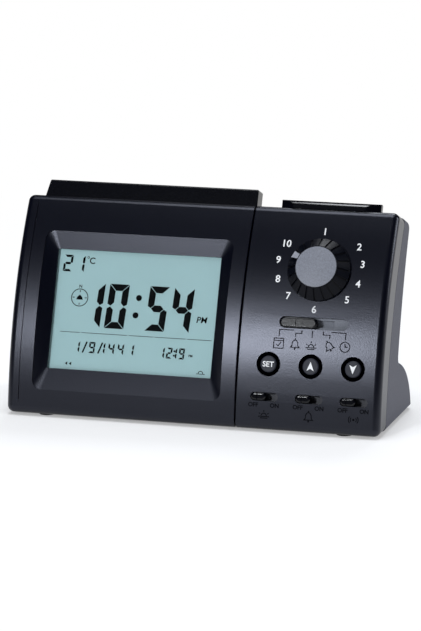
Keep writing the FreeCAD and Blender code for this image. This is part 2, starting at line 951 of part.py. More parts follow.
def drill_post(body, name, place):
    """A blind hole for a board screw, drilled from the end of a post towards the face."""
    sketch = new_sketch(body, f"{name}_hole", place=place)
    draw_circle(sketch, 0.0, 0.0, S.board_screw_radius + S.screw_fit)
    return pocket(body, sketch, BOARD_SCREW_BITE, backwards=True)


BOARD_SCREW_BITE = as_value(3.0)


def cut_bar_well(body, name):
    """The shallow well in the sloping top that the bar sinks into."""
    return cut_holes(body, name, top_place(BAR_X, BAR_BACK, WELL_RIM),
                     lambda sketch: draw_rectangle(sketch, 0.0, 0.0, BAR_LENGTH + 2 * S.well_gap,
                                                   S.bar_depth + 2 * S.well_gap),
                     WELL_RIM + WELL_DEPTH)


def key_outline(margin):
    """The oval key's outline with its long cut corners, larger by a margin all round."""
    half_length = S.key_length / 2 + margin
    half_depth = S.key_depth / 2 + margin
    cut_x = half_length - S.key_corner_length
    cut_y = half_depth - S.key_corner_depth
    return [
        (cut_x, -1 * half_depth), (half_length, -1 * cut_y), (half_length, cut_y),
        (cut_x, half_depth), (-1 * cut_x, half_depth), (-1 * half_length, cut_y),
        (-1 * half_length, -1 * cut_y), (-1 * cut_x, -1 * half_depth),
    ]


def cut_key_holes(body, name, x, back, reach):
    """Holes in the sloping top for the three legs of a key."""
    sketch = new_sketch(body, f"{name}_leg_holes", place=top_place(0.0, 0.0, 1.0))
    for offset in (-1 * reach, as_value(0.0), reach):
        draw_rectangle(sketch, x + offset, back, S.leg_length + 2 * S.leg_gap,
                       S.leg_width + 2 * S.leg_gap)
    return pocket(body, sketch, S.wall + 2.0)


def add_key_posts(body, name, x, back):
    """Two posts that hang from the top and carry a small switch board."""
    for side in (-1, 1):
        place_x = x + side * KEY_POST_OFF
        label = f"{name}_post_{'left' if side < 0 else 'right'}"
        add_post(body, label, top_place(place_x, back, -0.5 * S.wall), S.post_radius,
                 TOP_BOARD_DEPTH - 0.5 * S.wall)
        drill_post(body, label, top_place(place_x, back, -1 * TOP_BOARD_DEPTH))


def boss_depth(up):
    return S.seam_depth + sagitta(up, SEAM_REACH)


def add_case_bosses(body, name, side):
    """Bosses behind the front, bored for the case screws."""
    for number, up in enumerate((S.screw_high, -1 * S.screw_low), start=1):
        start = -0.5 * S.wall - sagitta(up, S.front_radius)
        x = side * S.screw_x - S.display_x
        label = f"{name}_boss_{number}"
        add_post(body, label, display_place(x, up, start), S.boss_radius,
                 boss_depth(up) + start)
        sketch = new_sketch(body, f"{label}_hole", place=display_place(x, up, -1 * boss_depth(up)))
        draw_circle(sketch, 0.0, 0.0, S.screw_radius + S.screw_fit)
        pocket(body, sketch, SCREW_BITE + 0.3, backwards=True)


SCREW_BITE = S.seam_depth - S.wall - 1.2


def foot_recess(body, name, x, y):
    """A round seat for a rubber foot, sunk in the underside."""
    sketch = new_sketch(body, f"{name}_foot_seat", place=Place(x, FRONT_Y + y, S.foot_lift - 0.5))
    draw_circle(sketch, 0.0, 0.0, S.rubber_radius + S.fit_gap)
    return pocket(body, sketch, S.rubber_sink + 0.5, backwards=True)


def sink_front_foot(body, name, side):
    foot_recess(body, name, side * S.rubber_x, S.rubber_front_y)


def build_control_panel():
    """Right half, pierced for every control."""
    low = S.split_x + S.split_gap / 2
    body = front_tray("control_panel", low, HALF, HALF)
    through = S.wall + 3.0
    above = 1.5

    cut_holes(body, "knob_hole", face_place(S.control_x, S.knob_s, above),
              lambda sketch: draw_circle(sketch, 0.0, 0.0, S.shaft_hole_radius), through)
    cut_holes(body, "mode_slot", face_place(S.control_x, S.mode_s, above),
              lambda sketch: draw_slot(sketch, 0.0, 0.0, S.mode_slot_length, S.mode_slot_width),
              through)
    for name, x in zip(("set", "up", "down"), BUTTON_XS):
        cut_holes(body, f"{name}_button_hole", face_place(x, S.button_s, above),
                  lambda sketch: draw_circle(sketch, 0.0, 0.0, S.button_hole_radius), through)
    for name, x in zip(("prayer", "alarm", "buzzer"), SLIDE_XS):
        cut_holes(body, f"{name}_slot", face_place(x, S.slide_s, above),
                  lambda sketch: draw_slot(sketch, 0.0, 0.0, S.slide_slot_length,
                                           S.slide_slot_width),
                  through)

    cut_bar_well(body, "panel_bar_well")
    cut_holes(body, "azan_key_well", top_place(S.key_x, KEY_BACK, WELL_RIM),
              lambda sketch: draw_outline(sketch, key_outline(S.well_gap)),
              WELL_RIM + WELL_DEPTH)
    cut_key_holes(body, "azan", S.key_x, KEY_BACK, KEY_LEG_X)
    add_key_posts(body, "azan", S.key_x, KEY_BACK)
    for number, (x, up) in enumerate(KEY_POSTS, start=1):
        start = -0.5 * S.wall - sagitta(up, S.front_radius)
        place_x = S.control_x + x
        add_post(body, f"key_post_{number}", plane_place(S.key_board_s, place_x, up, start),
                 S.post_radius, S.key_board_depth + start)
        drill_post(body, f"key_post_{number}",
                   plane_place(S.key_board_s, place_x, up, -1 * S.key_board_depth))
    for number, (x, up) in enumerate(SELECTOR_POSTS, start=1):
        start = -0.5 * S.wall - sagitta(up, S.front_radius)
        place_x = S.control_x + x
        add_post(body, f"selector_post_{number}", plane_place(S.knob_s, place_x, up, start),
                 S.post_radius, SELECTOR_DEPTH + start)
        drill_post(body, f"selector_post_{number}",
                   plane_place(S.knob_s, place_x, up, -1 * SELECTOR_DEPTH))
    add_case_bosses(body, "control", 1)
    sink_front_foot(body, "control", 1)
    return keep(body, "control_panel")


# Rear moulding

REAR_FACE = S.seam_depth + S.shut_gap
BAY_LENGTH = 2 * S.cell_length + S.spring_length + 2 * S.contact_thickness + 2 * S.fit_gap
HINGE_Z = S.floor + S.door_gap + S.knuckle_radius
HINGE_REACH = S.foot_radius - S.knuckle_radius
HINGE_RISE = HINGE_Z + S.foot_centre_z
HINGE_RUN = root(HINGE_REACH * HINGE_REACH - HINGE_RISE * HINGE_RISE)
HINGE_ANGLE = math.degrees(math.atan2(HINGE_RISE.number, HINGE_RUN.number))


def rear_top(inset):
    """Top rear corner: where the top meets the plane of the rear wall."""
    up, out = display_side(*top_point(0.0, -1 * as_value(inset)))
    fall = cosine(S.top_slope - face_angle(S.display_s))
    back = (S.rear_depth - inset + out) / fall
    return top_point(back, -1 * as_value(inset))


def display_side(y, z):
    """Side-view point as a height up the display's plane and a distance out of it."""
    angle = face_angle(S.display_s)
    from_y, from_z = face_point(S.display_s, 0.0)
    to_y = y - from_y
    to_z = z - from_z
    return to_y * sine(angle) + to_z * cosine(angle), to_z * sine(angle) - to_y * cosine(angle)


def leaning_section(front, inset):
    """Side view of the leaning part of the rear moulding."""
    reach = S.front_radius - front
    low_front = level_point(reach, inset)
    high_front = top_crossing(front, inset)
    corner = rear_top(inset)
    waist = plane_point(S.display_s, -1 * S.rear_waist, as_value(inset) - S.waist_depth)
    return [
        (low_front[0], low_front[1]),
        (waist[0], low_front[1]),
        (waist[0], waist[1], -1 * (S.rear_radius + inset)),
        (corner[0], corner[1]),
        (high_front[0], high_front[1], reach),
    ]


def foot_section(radius, level):
    """Side view of the rounded foot."""
    z = S.foot_lift + level
    rise = z - (S.foot_lift - S.foot_centre_z)
    run = root(radius * radius - rise * rise)
    middle_y, top_z = FRONT_Y + S.foot_centre_y, S.foot_lift - S.foot_centre_z + radius
    return [
        (middle_y, z),
        (middle_y + run, z, radius),
        (middle_y, top_z),
    ]


def build_rear_housing():
    body = new_body("rear_housing")
    zero = as_value(0.0)
    leaning = section_sketch(body, "leaning_section")
    draw_outline(leaning, leaning_section(REAR_FACE, zero))
    pad(body, leaning, S.case_width, middle=True)
    foot = section_sketch(body, "foot_section")
    draw_outline(foot, foot_section(S.foot_radius, zero))
    pad(body, foot, S.case_width, middle=True)

    def at_waist(edge):
        points = [vertex.Point for vertex in edge.Vertexes]
        across = abs(points[0].x - points[-1].x) > 1.0
        from_foot = math.hypot(points[0].y - foot_point(0, 0.0)[0].number,
                               points[0].z - foot_point(0, 0.0)[1].number)
        low = points[0].z > S.foot_lift.number + 1.0
        return across and low and abs(from_foot - S.foot_radius.number) < 1e-3

    round_edges(body, "waist_round", S.waist_round, at_waist)

    corner = rear_top(zero)

    def at_top_corner(edge):
        points = [vertex.Point for vertex in edge.Vertexes]
        across = abs(points[0].x - points[-1].x) > 1.0
        gap = math.hypot(points[0].y - corner[0].number, points[0].z - corner[1].number)
        return across and gap < 1e-3

    round_edges(body, "top_round", S.rear_round, at_top_corner)

    def at_side(edge):
        points = [vertex.Point for vertex in edge.Vertexes]
        on_side = all(abs(abs(point.x) - HALF.number) < 1e-4 for point in points)
        same = abs(points[0].x - points[-1].x) < 1e-4
        at_seam = all(abs(face_distance(point) - REAR_FACE.number) < 1e-3 for point in points)
        return on_side and same and not at_seam

    round_edges(body, "side_round", S.side_round, at_side)

    hollow = section_sketch(body, "rear_hollow")
    inner = leaning_section(S.seam_depth - 2.0, S.wall)
    draw_outline(hollow, inner)
    pocket(body, hollow, S.case_width - 2 * S.wall, middle=True)

    bay = section_sketch(body, "battery_bay")
    shelf = S.foot_lift + S.bay_shelf
    low = S.foot_lift + S.floor
    edge_in = foot_point(S.door_top_angle, S.foot_radius - S.door_thickness - 1.0)
    edge_out = foot_point(S.door_top_angle, S.foot_radius + 3.0)
    beyond = FRONT_Y + S.foot_centre_y + S.foot_radius + 3.0
    draw_outline(bay, [
        (FRONT_Y + S.bay_front, low),
        (beyond, low),
        (beyond, edge_out[1]),
        (edge_out[0], edge_out[1]),
        (edge_in[0], edge_in[1]),
        (FRONT_Y + S.bay_front, shelf),
    ])
    pocket(body, bay, BAY_LENGTH, middle=True)
    pins = section_sketch(body, "hinge_pin_holes")
    draw_circle(pins, *hinge_point(), S.hinge_pin_radius + S.running_gap)
    pocket(body, pins, BAY_LENGTH + 2 * (S.hinge_pin_length + S.door_gap), middle=True)

    add_screw_tubes(body)
    cut_grille(body)
    for name, side in (("left", -1), ("right", 1)):
        foot_recess(body, name, side * S.rubber_x, S.rubber_back_y)
    return keep(body, "rear_housing")


def hinge_point():
    return FRONT_Y + S.foot_centre_y + HINGE_RUN, S.foot_lift + HINGE_Z


SCREW_SEAT = as_value(4.0)


def add_screw_tubes(body):
    """Tubes from the rear wall to the seam, with a deep recess for each screw's head."""
    for number, (side, up) in enumerate(CASE_SCREWS, start=1):
        x = side * S.screw_x - S.display_x
        front = REAR_FACE + sagitta(up, S.front_radius - REAR_FACE)
        place = display_place(x, up, -1 * front)
        label = f"screw_tube_{number}"
        add_post(body, label, place, TUBE_RADIUS, S.rear_depth - 1.5 - front)
        sketch = new_sketch(body, f"{label}_bore", place=place)
        draw_circle(sketch, 0.0, 0.0, S.screw_radius + 0.2)
        pocket(body, sketch, SCREW_SEAT + 1.0)
        seat = display_place(x, up, -1 * (front + SCREW_SEAT))
        sketch = new_sketch(body, f"{label}_recess", place=seat)
        draw_circle(sketch, 0.0, 0.0, S.screw_head_radius + 0.4)
        pocket(body, sketch, S.rear_depth + 4.0 - front - SCREW_SEAT)


def speaker_place(out):
    return plane_place(S.display_s, S.speaker_x, S.speaker_v, out)


SPEAKER_WALL = S.rear_depth - S.wall - 1.3


def cut_grille(body):
    """Slots for the sound, each as long as the circle allows, and a rim round the speaker."""
    rim = new_sketch(body, "speaker_rim", place=speaker_place(2.0 - SPEAKER_WALL))
    draw_circle(rim, 0.0, 0.0, S.speaker_radius + 1.5)
    draw_circle(rim, 0.0, 0.0, S.speaker_radius + 0.3)
    pad(body, rim, 3.0, backwards=True)
    slots = new_sketch(body, "grille_slots", place=speaker_place(2.0 - SPEAKER_WALL))
    rows = int(S.grille_radius.number / S.grille_pitch.number)
    for row in range(-rows, rows + 1):
        up = row * S.grille_pitch
        half = root(S.grille_radius * S.grille_radius - up * up)
        draw_slot(slots, 0.0, up, 2 * half, S.grille_slot)
    return pocket(body, slots, S.wall + 6.0)


def build_battery_door():
    """Curved door of the foot: it tips back on two pins at its lower edge."""
    body = new_body("battery_door")
    length = BAY_LENGTH - 2 * S.door_gap
    top_angle = S.door_top_angle - S.door_gap / S.foot_radius * DEGREES
    inner = S.foot_radius - S.door_thickness
    low_angle = as_value(HINGE_ANGLE)
    shell = section_sketch(body, "door_section")
    low_out = foot_point(low_angle, S.foot_radius)
    low_in = foot_point(low_angle, inner)
    high_out = foot_point(top_angle, S.foot_radius)
    high_in = foot_point(top_angle, inner)
    draw_outline(shell, [
        (low_out[0], low_out[1], S.foot_radius),
        (high_out[0], high_out[1]),
        (high_in[0], high_in[1], -1 * inner),
        (low_in[0], low_in[1]),
    ])
    pad(body, shell, length, middle=True)
    knuckle = section_sketch(body, "door_knuckle")
    draw_circle(knuckle, *hinge_point(), S.knuckle_radius)
    pad(body, knuckle, length, middle=True)
    pins = section_sketch(body, "door_pins")
    draw_circle(pins, *hinge_point(), S.hinge_pin_radius)
    pad(body, pins, BAY_LENGTH + 2 * S.hinge_pin_length, middle=True)
    return keep(body, "battery_door")


# Display and boards

def build_display_stack():
    lens_out = -1 * (S.window_depth + S.lip + S.fit_gap + S.lens_thickness)
    keep(box("display_lens", S.glass_width, S.glass_height, S.lens_thickness,
             display_place(0.0, 0.0, lens_out)), "display_lens")
    lcd_out = lens_out - S.fit_gap - S.lcd_thickness
    keep(box("lcd_glass", S.glass_width, S.glass_height, S.lcd_thickness,
             display_place(0.0, 0.0, lcd_out)), "lcd_glass")

    holder = new_body("lcd_holder")
    outline = new_sketch(holder, "holder_outline", place=display_place(0.0, 0.0, -1 * HOLDER_DEPTH))
    inner_width = S.light_width + 2 * S.glass_margin
    inner_height = S.light_height + 2 * S.glass_margin
    draw_rectangle(outline, 0.0, 0.0, S.glass_width, S.glass_height)
    draw_rectangle(outline, 0.0, 0.0, inner_width, inner_height)
    pad(holder, outline, S.holder_thickness, backwards=True)
    cut_holes(holder, "zebra_slot", display_place(0.0, zebra_up(), 0.5 - HOLDER_DEPTH),
              lambda sketch: draw_rectangle(sketch, 0.0, 0.0, S.zebra_length + 2 * S.glass_margin,
                                            S.zebra_width + 2 * S.glass_margin),
              S.holder_thickness + 1.0)
    keep(holder, "lcd_holder")

    light_out = -1 * (HOLDER_DEPTH + S.light_thickness)
    keep(box("light_guide", S.light_width, S.light_height, S.light_thickness,
             display_place(0.0, 0.0, light_out)), "light_guide")
    zebra_height = BOARD_DEPTH - HOLDER_DEPTH
    keep(box("zebra_strip", S.zebra_length, S.zebra_width, zebra_height,
             display_place(0.0, zebra_up(), -1 * BOARD_DEPTH)), "zebra_strip")


def zebra_up():
    return -1 * (S.light_height / 2 + S.glass_margin + S.zebra_width / 2 + S.zebra_drop)


def board(name, place, width, height, holes):
    """A circuit board behind its place, bored for its screws."""
    body = new_body(name)
    outline = new_sketch(body, f"{name}_outline", place=place)
    draw_rectangle(outline, 0.0, 0.0, width, height)
    for x, up in holes:
        draw_circle(outline, x, up, S.board_screw_radius + 0.15)
    pad(body, outline, S.board_thickness, backwards=True)
    return body


def cut_notch(body, name, side, radius):
    """A round bite out of a board's edge, clear of the case screw that stands beside it."""
    place = display_place(side * S.screw_x - S.display_x, -1 * S.screw_low, 0.0)
    return cut_holes(body, name, place,
                     lambda sketch: draw_circle(sketch, 0.0, 0.0, radius + S.notch_gap),
                     S.rear_depth)


def build_boards():
    main = board("main_circuit_board", display_place(0.0, 0.0, -1 * BOARD_DEPTH),
                 S.main_board_width, S.main_board_height, MAIN_POSTS)
    cut_notch(main, "tube_notch", -1, TUBE_RADIUS)
    keep(main, "main_circuit_board")

    place = plane_place(S.key_board_s, S.control_x, 0.0, -1 * S.key_board_depth)
    keys = board("key_circuit_board", place, S.key_board_width, S.key_board_height, KEY_POSTS)
    cut_notch(keys, "boss_notch", 1, S.boss_radius)
    keep(keys, "key_circuit_board")

    place = plane_place(S.knob_s, S.control_x, 0.0, -1 * SELECTOR_DEPTH)
    selector = board("selector_board", place, S.selector_board_size, S.selector_board_size,
                     SELECTOR_POSTS)
    keep(selector, "selector_board")

    for name, x, back in (("snooze", BAR_X, BAR_BACK), ("azan", S.key_x, KEY_BACK)):
        holes = [(-1 * KEY_POST_OFF, 0.0), (KEY_POST_OFF, 0.0)]
        switch_board = board(f"{name}_switch_board", top_place(x, back, -1 * TOP_BOARD_DEPTH),
                             S.top_board_length, S.top_board_width, holes)
        keep(switch_board, f"{name}_switch_board")


def build_board_components():
    """Chip under its blob, crystal, two capacitors and a plug on the back of the main board."""
    back = -1 * (BOARD_DEPTH + S.board_thickness)
    solids = []
    blob = new_body("chip_blob")
    profile = new_sketch(blob, "blob_profile", "XZ_Plane")
    bulge = (S.blob_radius * S.blob_radius + S.blob_height * S.blob_height) / (2 * S.blob_height)
    draw_outline(profile, [(0.0, 0.0), (S.blob_radius, 0.0, bulge), (0.0, S.blob_height)])
    turned = blob.newObject("PartDesign::Revolution", "blob_turned")
    turned.Profile = profile
    turned.ReferenceAxis = (profile, ["V_Axis"])
    turned.Angle = 360
    doc.recompute()
    flip_place = display_place(S.blob_x, S.blob_up, back)
    set_place(blob, Place(flip_place.x, flip_place.y, flip_place.z, flip_place.tilt + 180.0))
    solids.append(blob)
    solids.append(box("crystal", S.crystal_length, S.crystal_width, S.crystal_height,
                      display_place(-1 * S.blob_x, S.crystal_up, back - S.crystal_height)))
    for number in (0, 1):
        x = S.main_board_width / 2 - S.capacitor_inset - number * S.capacitor_pitch
        solids.append(cylinder(f"capacitor_{number + 1}", S.capacitor_radius, S.capacitor_height,
                               display_place(x, S.capacitor_up, back - S.capacitor_height)))
    solids.append(box("ribbon_plug", S.plug_length, S.plug_width, S.plug_height,
                      display_place(S.main_board_width / 2 - S.plug_inset,
                                    S.main_board_height / 2 - S.plug_inset_up,
                                    back - S.plug_height)))
    keep(group("board_components", solids), "board_components")


def tact_switch(name, place, height):
    """A push switch with its plunger, standing out of its place."""
    case = box(f"{name}_case", S.tact_size, S.tact_size, S.tact_height, place)
    plunger = cylinder(f"{name}_plunger", S.plunger_radius, height, place)
    return fuse(name, [case, plunger])


def build_switches():
    solids = []
    for name, x in zip(("set", "up", "down"), BUTTON_XS):
        up = S.button_s - S.key_board_s
        place = plane_place(S.key_board_s, x, up, -1 * S.key_board_depth)
        solids.append(tact_switch(f"{name}_tact", place, TACT_REACH))
    keep(group("key_switches", solids), "key_switches")

    solids = []
    for name, x, back in (("snooze", BAR_X, BAR_BACK), ("azan", S.key_x, KEY_BACK)):
        solids.append(tact_switch(f"{name}_tact", top_place(x, back, -1 * TOP_BOARD_DEPTH),
                                  TACT_REACH))
    keep(group("top_switches", solids), "top_switches")

    solids = []
    for name, x in zip(("prayer", "alarm", "buzzer"), SLIDE_XS):
        solids.append(slide_switch(f"{name}_switch", x, S.slide_s, S.slide_body_length,
                                   S.slide_body_width, S.slide_travel))
    keep(group("slide_switches", solids), "slide_switches")
    mode = slide_switch("mode_switch", S.control_x, S.mode_s, S.mode_body_length,
                        S.mode_body_width, S.mode_travel)
    keep(mode, "mode_switch")


def slide_switch(name, x, s, length, width, travel):
    """Steel-covered slide switch on the key board, slotted for its handle's stem."""
    up = (s - S.key_board_s)
    height = S.key_board_depth - S.wall - S.switch_cover_gap - sagitta(up, S.front_radius)
    place = plane_place(S.key_board_s, x, up, -1 * S.key_board_depth)
    case = box(f"{name}_case", length, width, height, place)
    top = plane_place(S.key_board_s, x, up, height - STEM_BITE - 0.6 - S.key_board_depth)
    slot = box(f"{name}_slot", travel + S.stem_length + 2 * S.slide_gap,
               S.stem_width + 6 * S.slide_gap, STEM_BITE + 2.0, top)
    return cut(name, case, slot)


STEM_BITE = as_value(1.4)


def handle(name, x, s, length, width, travel, groove_at):
    """Slide handle in its slot, with a round outer end, a grip groove and a stem."""
    body = new_body(name)
    start = x - travel / 2
    set_place(body, face_place(start, s, 0.0))
    cap = new_sketch(body, f"{name}_outline", place=Place(0.0, 0.0, S.handle_lift))
    draw_slot(cap, 0.0, 0.0, length, width - 2 * S.slide_gap)
    pad(body, cap, S.handle_lift + S.wall + 0.2, backwards=True)
    round_edges(body, f"{name}_grip", S.grip_round,
                lambda edge: edge.BoundBox.ZMin > S.handle_lift.number - 1e-4)
    stem = new_sketch(body, f"{name}_stem", place=Place(0.0, 0.0, -1 * S.wall))
    draw_rectangle(stem, 0.0, 0.0, S.stem_length, S.stem_width)
    pad(body, stem, S.switch_cover_gap + STEM_BITE, backwards=True)
    for number, place_x in enumerate(groove_at, start=1):
        groove = new_sketch(body, f"{name}_groove_{number}",
                            place=Place(0.0, 0.0, S.handle_lift + 0.5))
        draw_rectangle(groove, place_x, 0.0, S.grip_groove, width)
        pocket(body, groove, 0.5 + S.grip_groove)
    return keep(body, name)


def build_handles():
    handle("mode_slider", S.control_x, S.mode_s, S.mode_handle_length, S.mode_slot_width,
           S.mode_travel, [-1.0])
    for name, x in zip(("prayer_slider", "alarm_slider", "buzzer_slider"), SLIDE_XS):
        handle(name, x, S.slide_s, S.slide_handle_length, S.slide_slot_width, S.slide_travel,
               [-0.6])


def build_buttons():
    for name, x in zip(("set_button", "up_button", "down_button"), BUTTON_XS):
        body = new_body(name)
        set_place(body, face_place(x, S.button_s, 0.0))
        under = S.wall + 0.3
        cap = new_sketch(body, f"{name}_cap", place=Place(0.0, 0.0, S.button_lift))
        draw_circle(cap, 0.0, 0.0, S.button_radius)
        pad(body, cap, S.button_lift + under, backwards=True)
        round_edges(body, f"{name}_edge", 0.5,
                    lambda edge: edge.BoundBox.ZMin > S.button_lift.number - 1e-4)
        flange = new_sketch(body, f"{name}_flange", place=Place(0.0, 0.0, -1 * under))
        draw_circle(flange, 0.0, 0.0, S.button_flange_radius)
        pad(body, flange, S.button_flange, backwards=True)
        keep(body, name)


# Selector knob

KNOB_BORE = S.shaft_radius + S.screw_fit


def build_selector():
    """Skirted knob: a turned cone with a domed cap, grooved all round."""
    body = new_body("selector_knob")
    set_place(body, face_place(S.control_x, S.knob_s, 0.0))
    profile = new_sketch(body, "knob_profile", "XZ_Plane")
    skirt_top = S.knob_gap + S.knob_skirt
    rim = S.knob_height - S.knob_rim
    half = S.knob_cap_radius
    dome = (half * half + S.knob_dome * S.knob_dome) / (2 * S.knob_dome)
    draw_outline(profile, [
        (KNOB_BORE, S.knob_gap),
        (S.knob_radius, S.knob_gap),
        (S.knob_radius, skirt_top),
        (half + S.knob_rim, rim),
        (half + S.knob_rim, S.knob_height),
        (half, S.knob_height, dome),
        (0.0, S.knob_height + S.knob_dome),
        (0.0, S.knob_height - S.knob_roof),
        (KNOB_BORE, S.knob_height - S.knob_roof),
    ])
    turned = body.newObject("PartDesign::Revolution", "knob_turned")
    turned.Profile = profile
    turned.ReferenceAxis = (profile, ["V_Axis"])
    turned.Angle = 360
    doc.recompute()
    flute = new_sketch(body, "flute_section", "XZ_Plane")
    draw_outline(flute, [
        (S.knob_radius - S.flute_depth, skirt_top - 0.4),
        (S.knob_radius + 1.0, skirt_top - 0.4),
        (S.knob_radius + 1.0, rim + 0.1),
        (half + S.knob_rim, rim + 0.1),
        (half + S.knob_rim - S.flute_depth * 0.3, rim - S.flute_depth * 0.8),
    ])
    cutter = pocket(body, flute, S.flute_width, middle=True)
    pattern = body.newObject("PartDesign::PolarPattern", "flutes")
    pattern.Originals = [cutter]
    pattern.Axis = (profile, ["V_Axis"])
    pattern.Angle = 360
    pattern.Occurrences = int(S.flute_count.number)
    pattern.setExpression("Occurrences", "Sizes.flute_count")
    body.Tip = pattern
    keep(body, "selector_knob")

    shaft_low = -1 * (SELECTOR_DEPTH - 0.6)
    shaft = cylinder("shaft_round", S.shaft_radius,
                     S.knob_height - S.knob_roof - 0.2 - shaft_low,
                     face_place(S.control_x, S.knob_s, shaft_low))
    keep(shaft, "selector_shaft")

    switch = new_body("selector_switch")
    set_place(switch, face_place(S.control_x, S.knob_s, -1 * SELECTOR_DEPTH))
    case = new_sketch(switch, "selector_case")
    draw_circle(case, 0.0, 0.0, S.switch_radius)
    pad(switch, case, S.switch_height)
    bore = new_sketch(switch, "selector_bore", place=Place(0.0, 0.0, S.switch_height + 0.5))
    draw_circle(bore, 0.0, 0.0, S.shaft_radius + S.running_gap)
    pocket(switch, bore, S.switch_height + 0.2)
    keep(switch, "selector_switch")


# Keys on top

def top_key(name, x, back, height, legs, outline):
    """A key sunk a little in the sloping top, on three legs that pass into the case."""
    body = new_body(name)
    set_place(body, top_place(x, back, -1 * S.key_sink))
    plate = new_sketch(body, f"{name}_outline")
    outline(plate)
    pad(body, plate, height + S.key_sink)
    leg = new_sketch(body, f"{name}_legs", place=Place(0.0, 0.0, 0.5))
    for offset in (-1 * legs, as_value(0.0), legs):
        draw_rectangle(leg, offset, 0.0, S.leg_length, S.leg_width)
    pad(body, leg, S.leg_reach - S.key_sink + 0.5, backwards=True)
    return body


def build_top_keys():
    bar = top_key("snooze_bar", BAR_X, BAR_BACK, S.bar_height, BAR_LEG_X,
                  lambda sketch: draw_rectangle(sketch, 0.0, 0.0, BAR_LENGTH, S.bar_depth))
    top = S.bar_height + S.key_sink
    end = -1 * BAR_LENGTH / 2
    slant = new_sketch(bar, "bar_end_slant", "XZ_Plane")
    draw_outline(slant, [
        (end, S.key_sink),
        (end + S.bar_slant, top),
        (end + S.bar_slant, top + 1.0),
        (end - 1.0, top + 1.0),
        (end - 1.0, S.key_sink),
    ])
    pocket(bar, slant, S.bar_depth + 2.0, middle=True)

    def upper(edge):
        return edge.BoundBox.ZMin > top.number - 1e-4

    round_edges(bar, "bar_edges", S.bar_round, upper)
    keep(bar, "snooze_bar")

    key = top_key("azan_key", S.key_x, KEY_BACK, S.key_height, KEY_LEG_X,
                  lambda sketch: draw_outline(sketch, key_outline(0.0)))
    crown = new_sketch(key, "crown", "YZ_Plane")
    half_depth = S.key_depth / 2
    above = S.key_height + S.key_sink
    rise = sagitta(half_depth, S.key_crown_radius)
    draw_outline(crown, [
        (half_depth + 0.5, above + 1.0),
        (-1 * half_depth - 0.5, above + 1.0),
        (-1 * half_depth - 0.5, above - rise),
        (-1 * half_depth, above - rise, -1 * S.key_crown_radius),
        (half_depth, above - rise),
        (half_depth + 0.5, above - rise),
    ])
    pocket(key, crown, S.key_length + 2.0, middle=True)
    keep(key, "azan_key")


# Battery bay

def build_batteries():
    cell_y = FRONT_Y + S.bay_front + S.cell_gap + S.cell_radius
    cell_z = S.foot_lift + S.floor + S.door_gap + S.cell_radius
    start = -1 * BAY_LENGTH / 2 + S.contact_thickness + S.spring_length + S.fit_gap
    cells = []
    for number in (0, 1):
        x = start + number * S.cell_length
        can = bar_along_x(f"cell_can_{number + 1}", S.cell_radius,
                          S.cell_length - S.nub_length - S.fit_gap, x, cell_y, cell_z)
        nub_x = x + S.cell_length - S.nub_length - S.fit_gap - 0.1
        nub = bar_along_x(f"cell_nub_{number + 1}", S.nub_radius, S.nub_length + 0.1,
                          nub_x, cell_y, cell_z)
        cells.append(fuse(f"cell_{number + 1}", [can, nub]))
    keep(group("battery_cells", cells), "battery_cells")

    plates = []
    size = 2 * (S.cell_radius - S.contact_inset)
    for name, x in (("left", -1 * BAY_LENGTH / 2 + S.contact_thickness / 2),
                    ("right", BAY_LENGTH / 2 - S.contact_thickness / 2)):
        plates.append(box(f"contact_{name}", S.contact_thickness - 0.02, size, size,
                          Place(x, cell_y, cell_z - size / 2)))
    keep(group("battery_contacts", plates), "battery_contacts")

    keep(coil_spring("battery_spring", cell_y, cell_z), "battery_spring")


def coil_spring(name, y, z):
    """A spring that presses on the left cell: a many-sided wire along a helix."""
    height = S.spring_length - 2 * S.spring_wire - S.fit_gap
    helix = doc.addObject("Part::Helix", f"{name}_path")
    bind(helix, "Height", height)
    bind(helix, "Pitch", height / S.spring_turns)
    bind(helix, "Radius", S.spring_radius)
    helix.SegmentLength = SPRING_SEGMENT
    wire = doc.addObject("Part::RegularPolygon", f"{name}_wire")
    wire.Polygon = WIRE_SIDES
    bind(wire, "Circumradius", S.spring_wire)
    set_place(wire, Place(S.spring_radius, 0.0, 0.0, 90.0))
    coil = doc.addObject("Part::Sweep", name)
    coil.Sections = [wire]
    coil.Spine = (helix, [])
    coil.Solid = True
    coil.Frenet = True
    start = -1 * BAY_LENGTH / 2 + S.contact_thickness + S.spring_wire + S.fit_gap / 2
    lay_along_x(coil, start, y, z)
    return coil


# Turns of the spring's path to one edge, and the sides of its wire: few keep its mesh true

SPRING_SEGMENT = 0.5
WIRE_SIDES = 6


# Loudspeaker

def turned_piece(name, place, points):
    """A piece turned about its own Z from half of its profile."""
    body = new_body(name)
    profile = new_sketch(body, f"{name}_profile", "XZ_Plane")
    draw_outline(profile, points)
    turned = body.newObject("PartDesign::Revolution", f"{name}_turned")
    turned.Profile = profile
    turned.ReferenceAxis = (profile, ["V_Axis"])
    turned.Angle = 360
    doc.recompute()
    set_place(body, place)
    return keep(body, name)


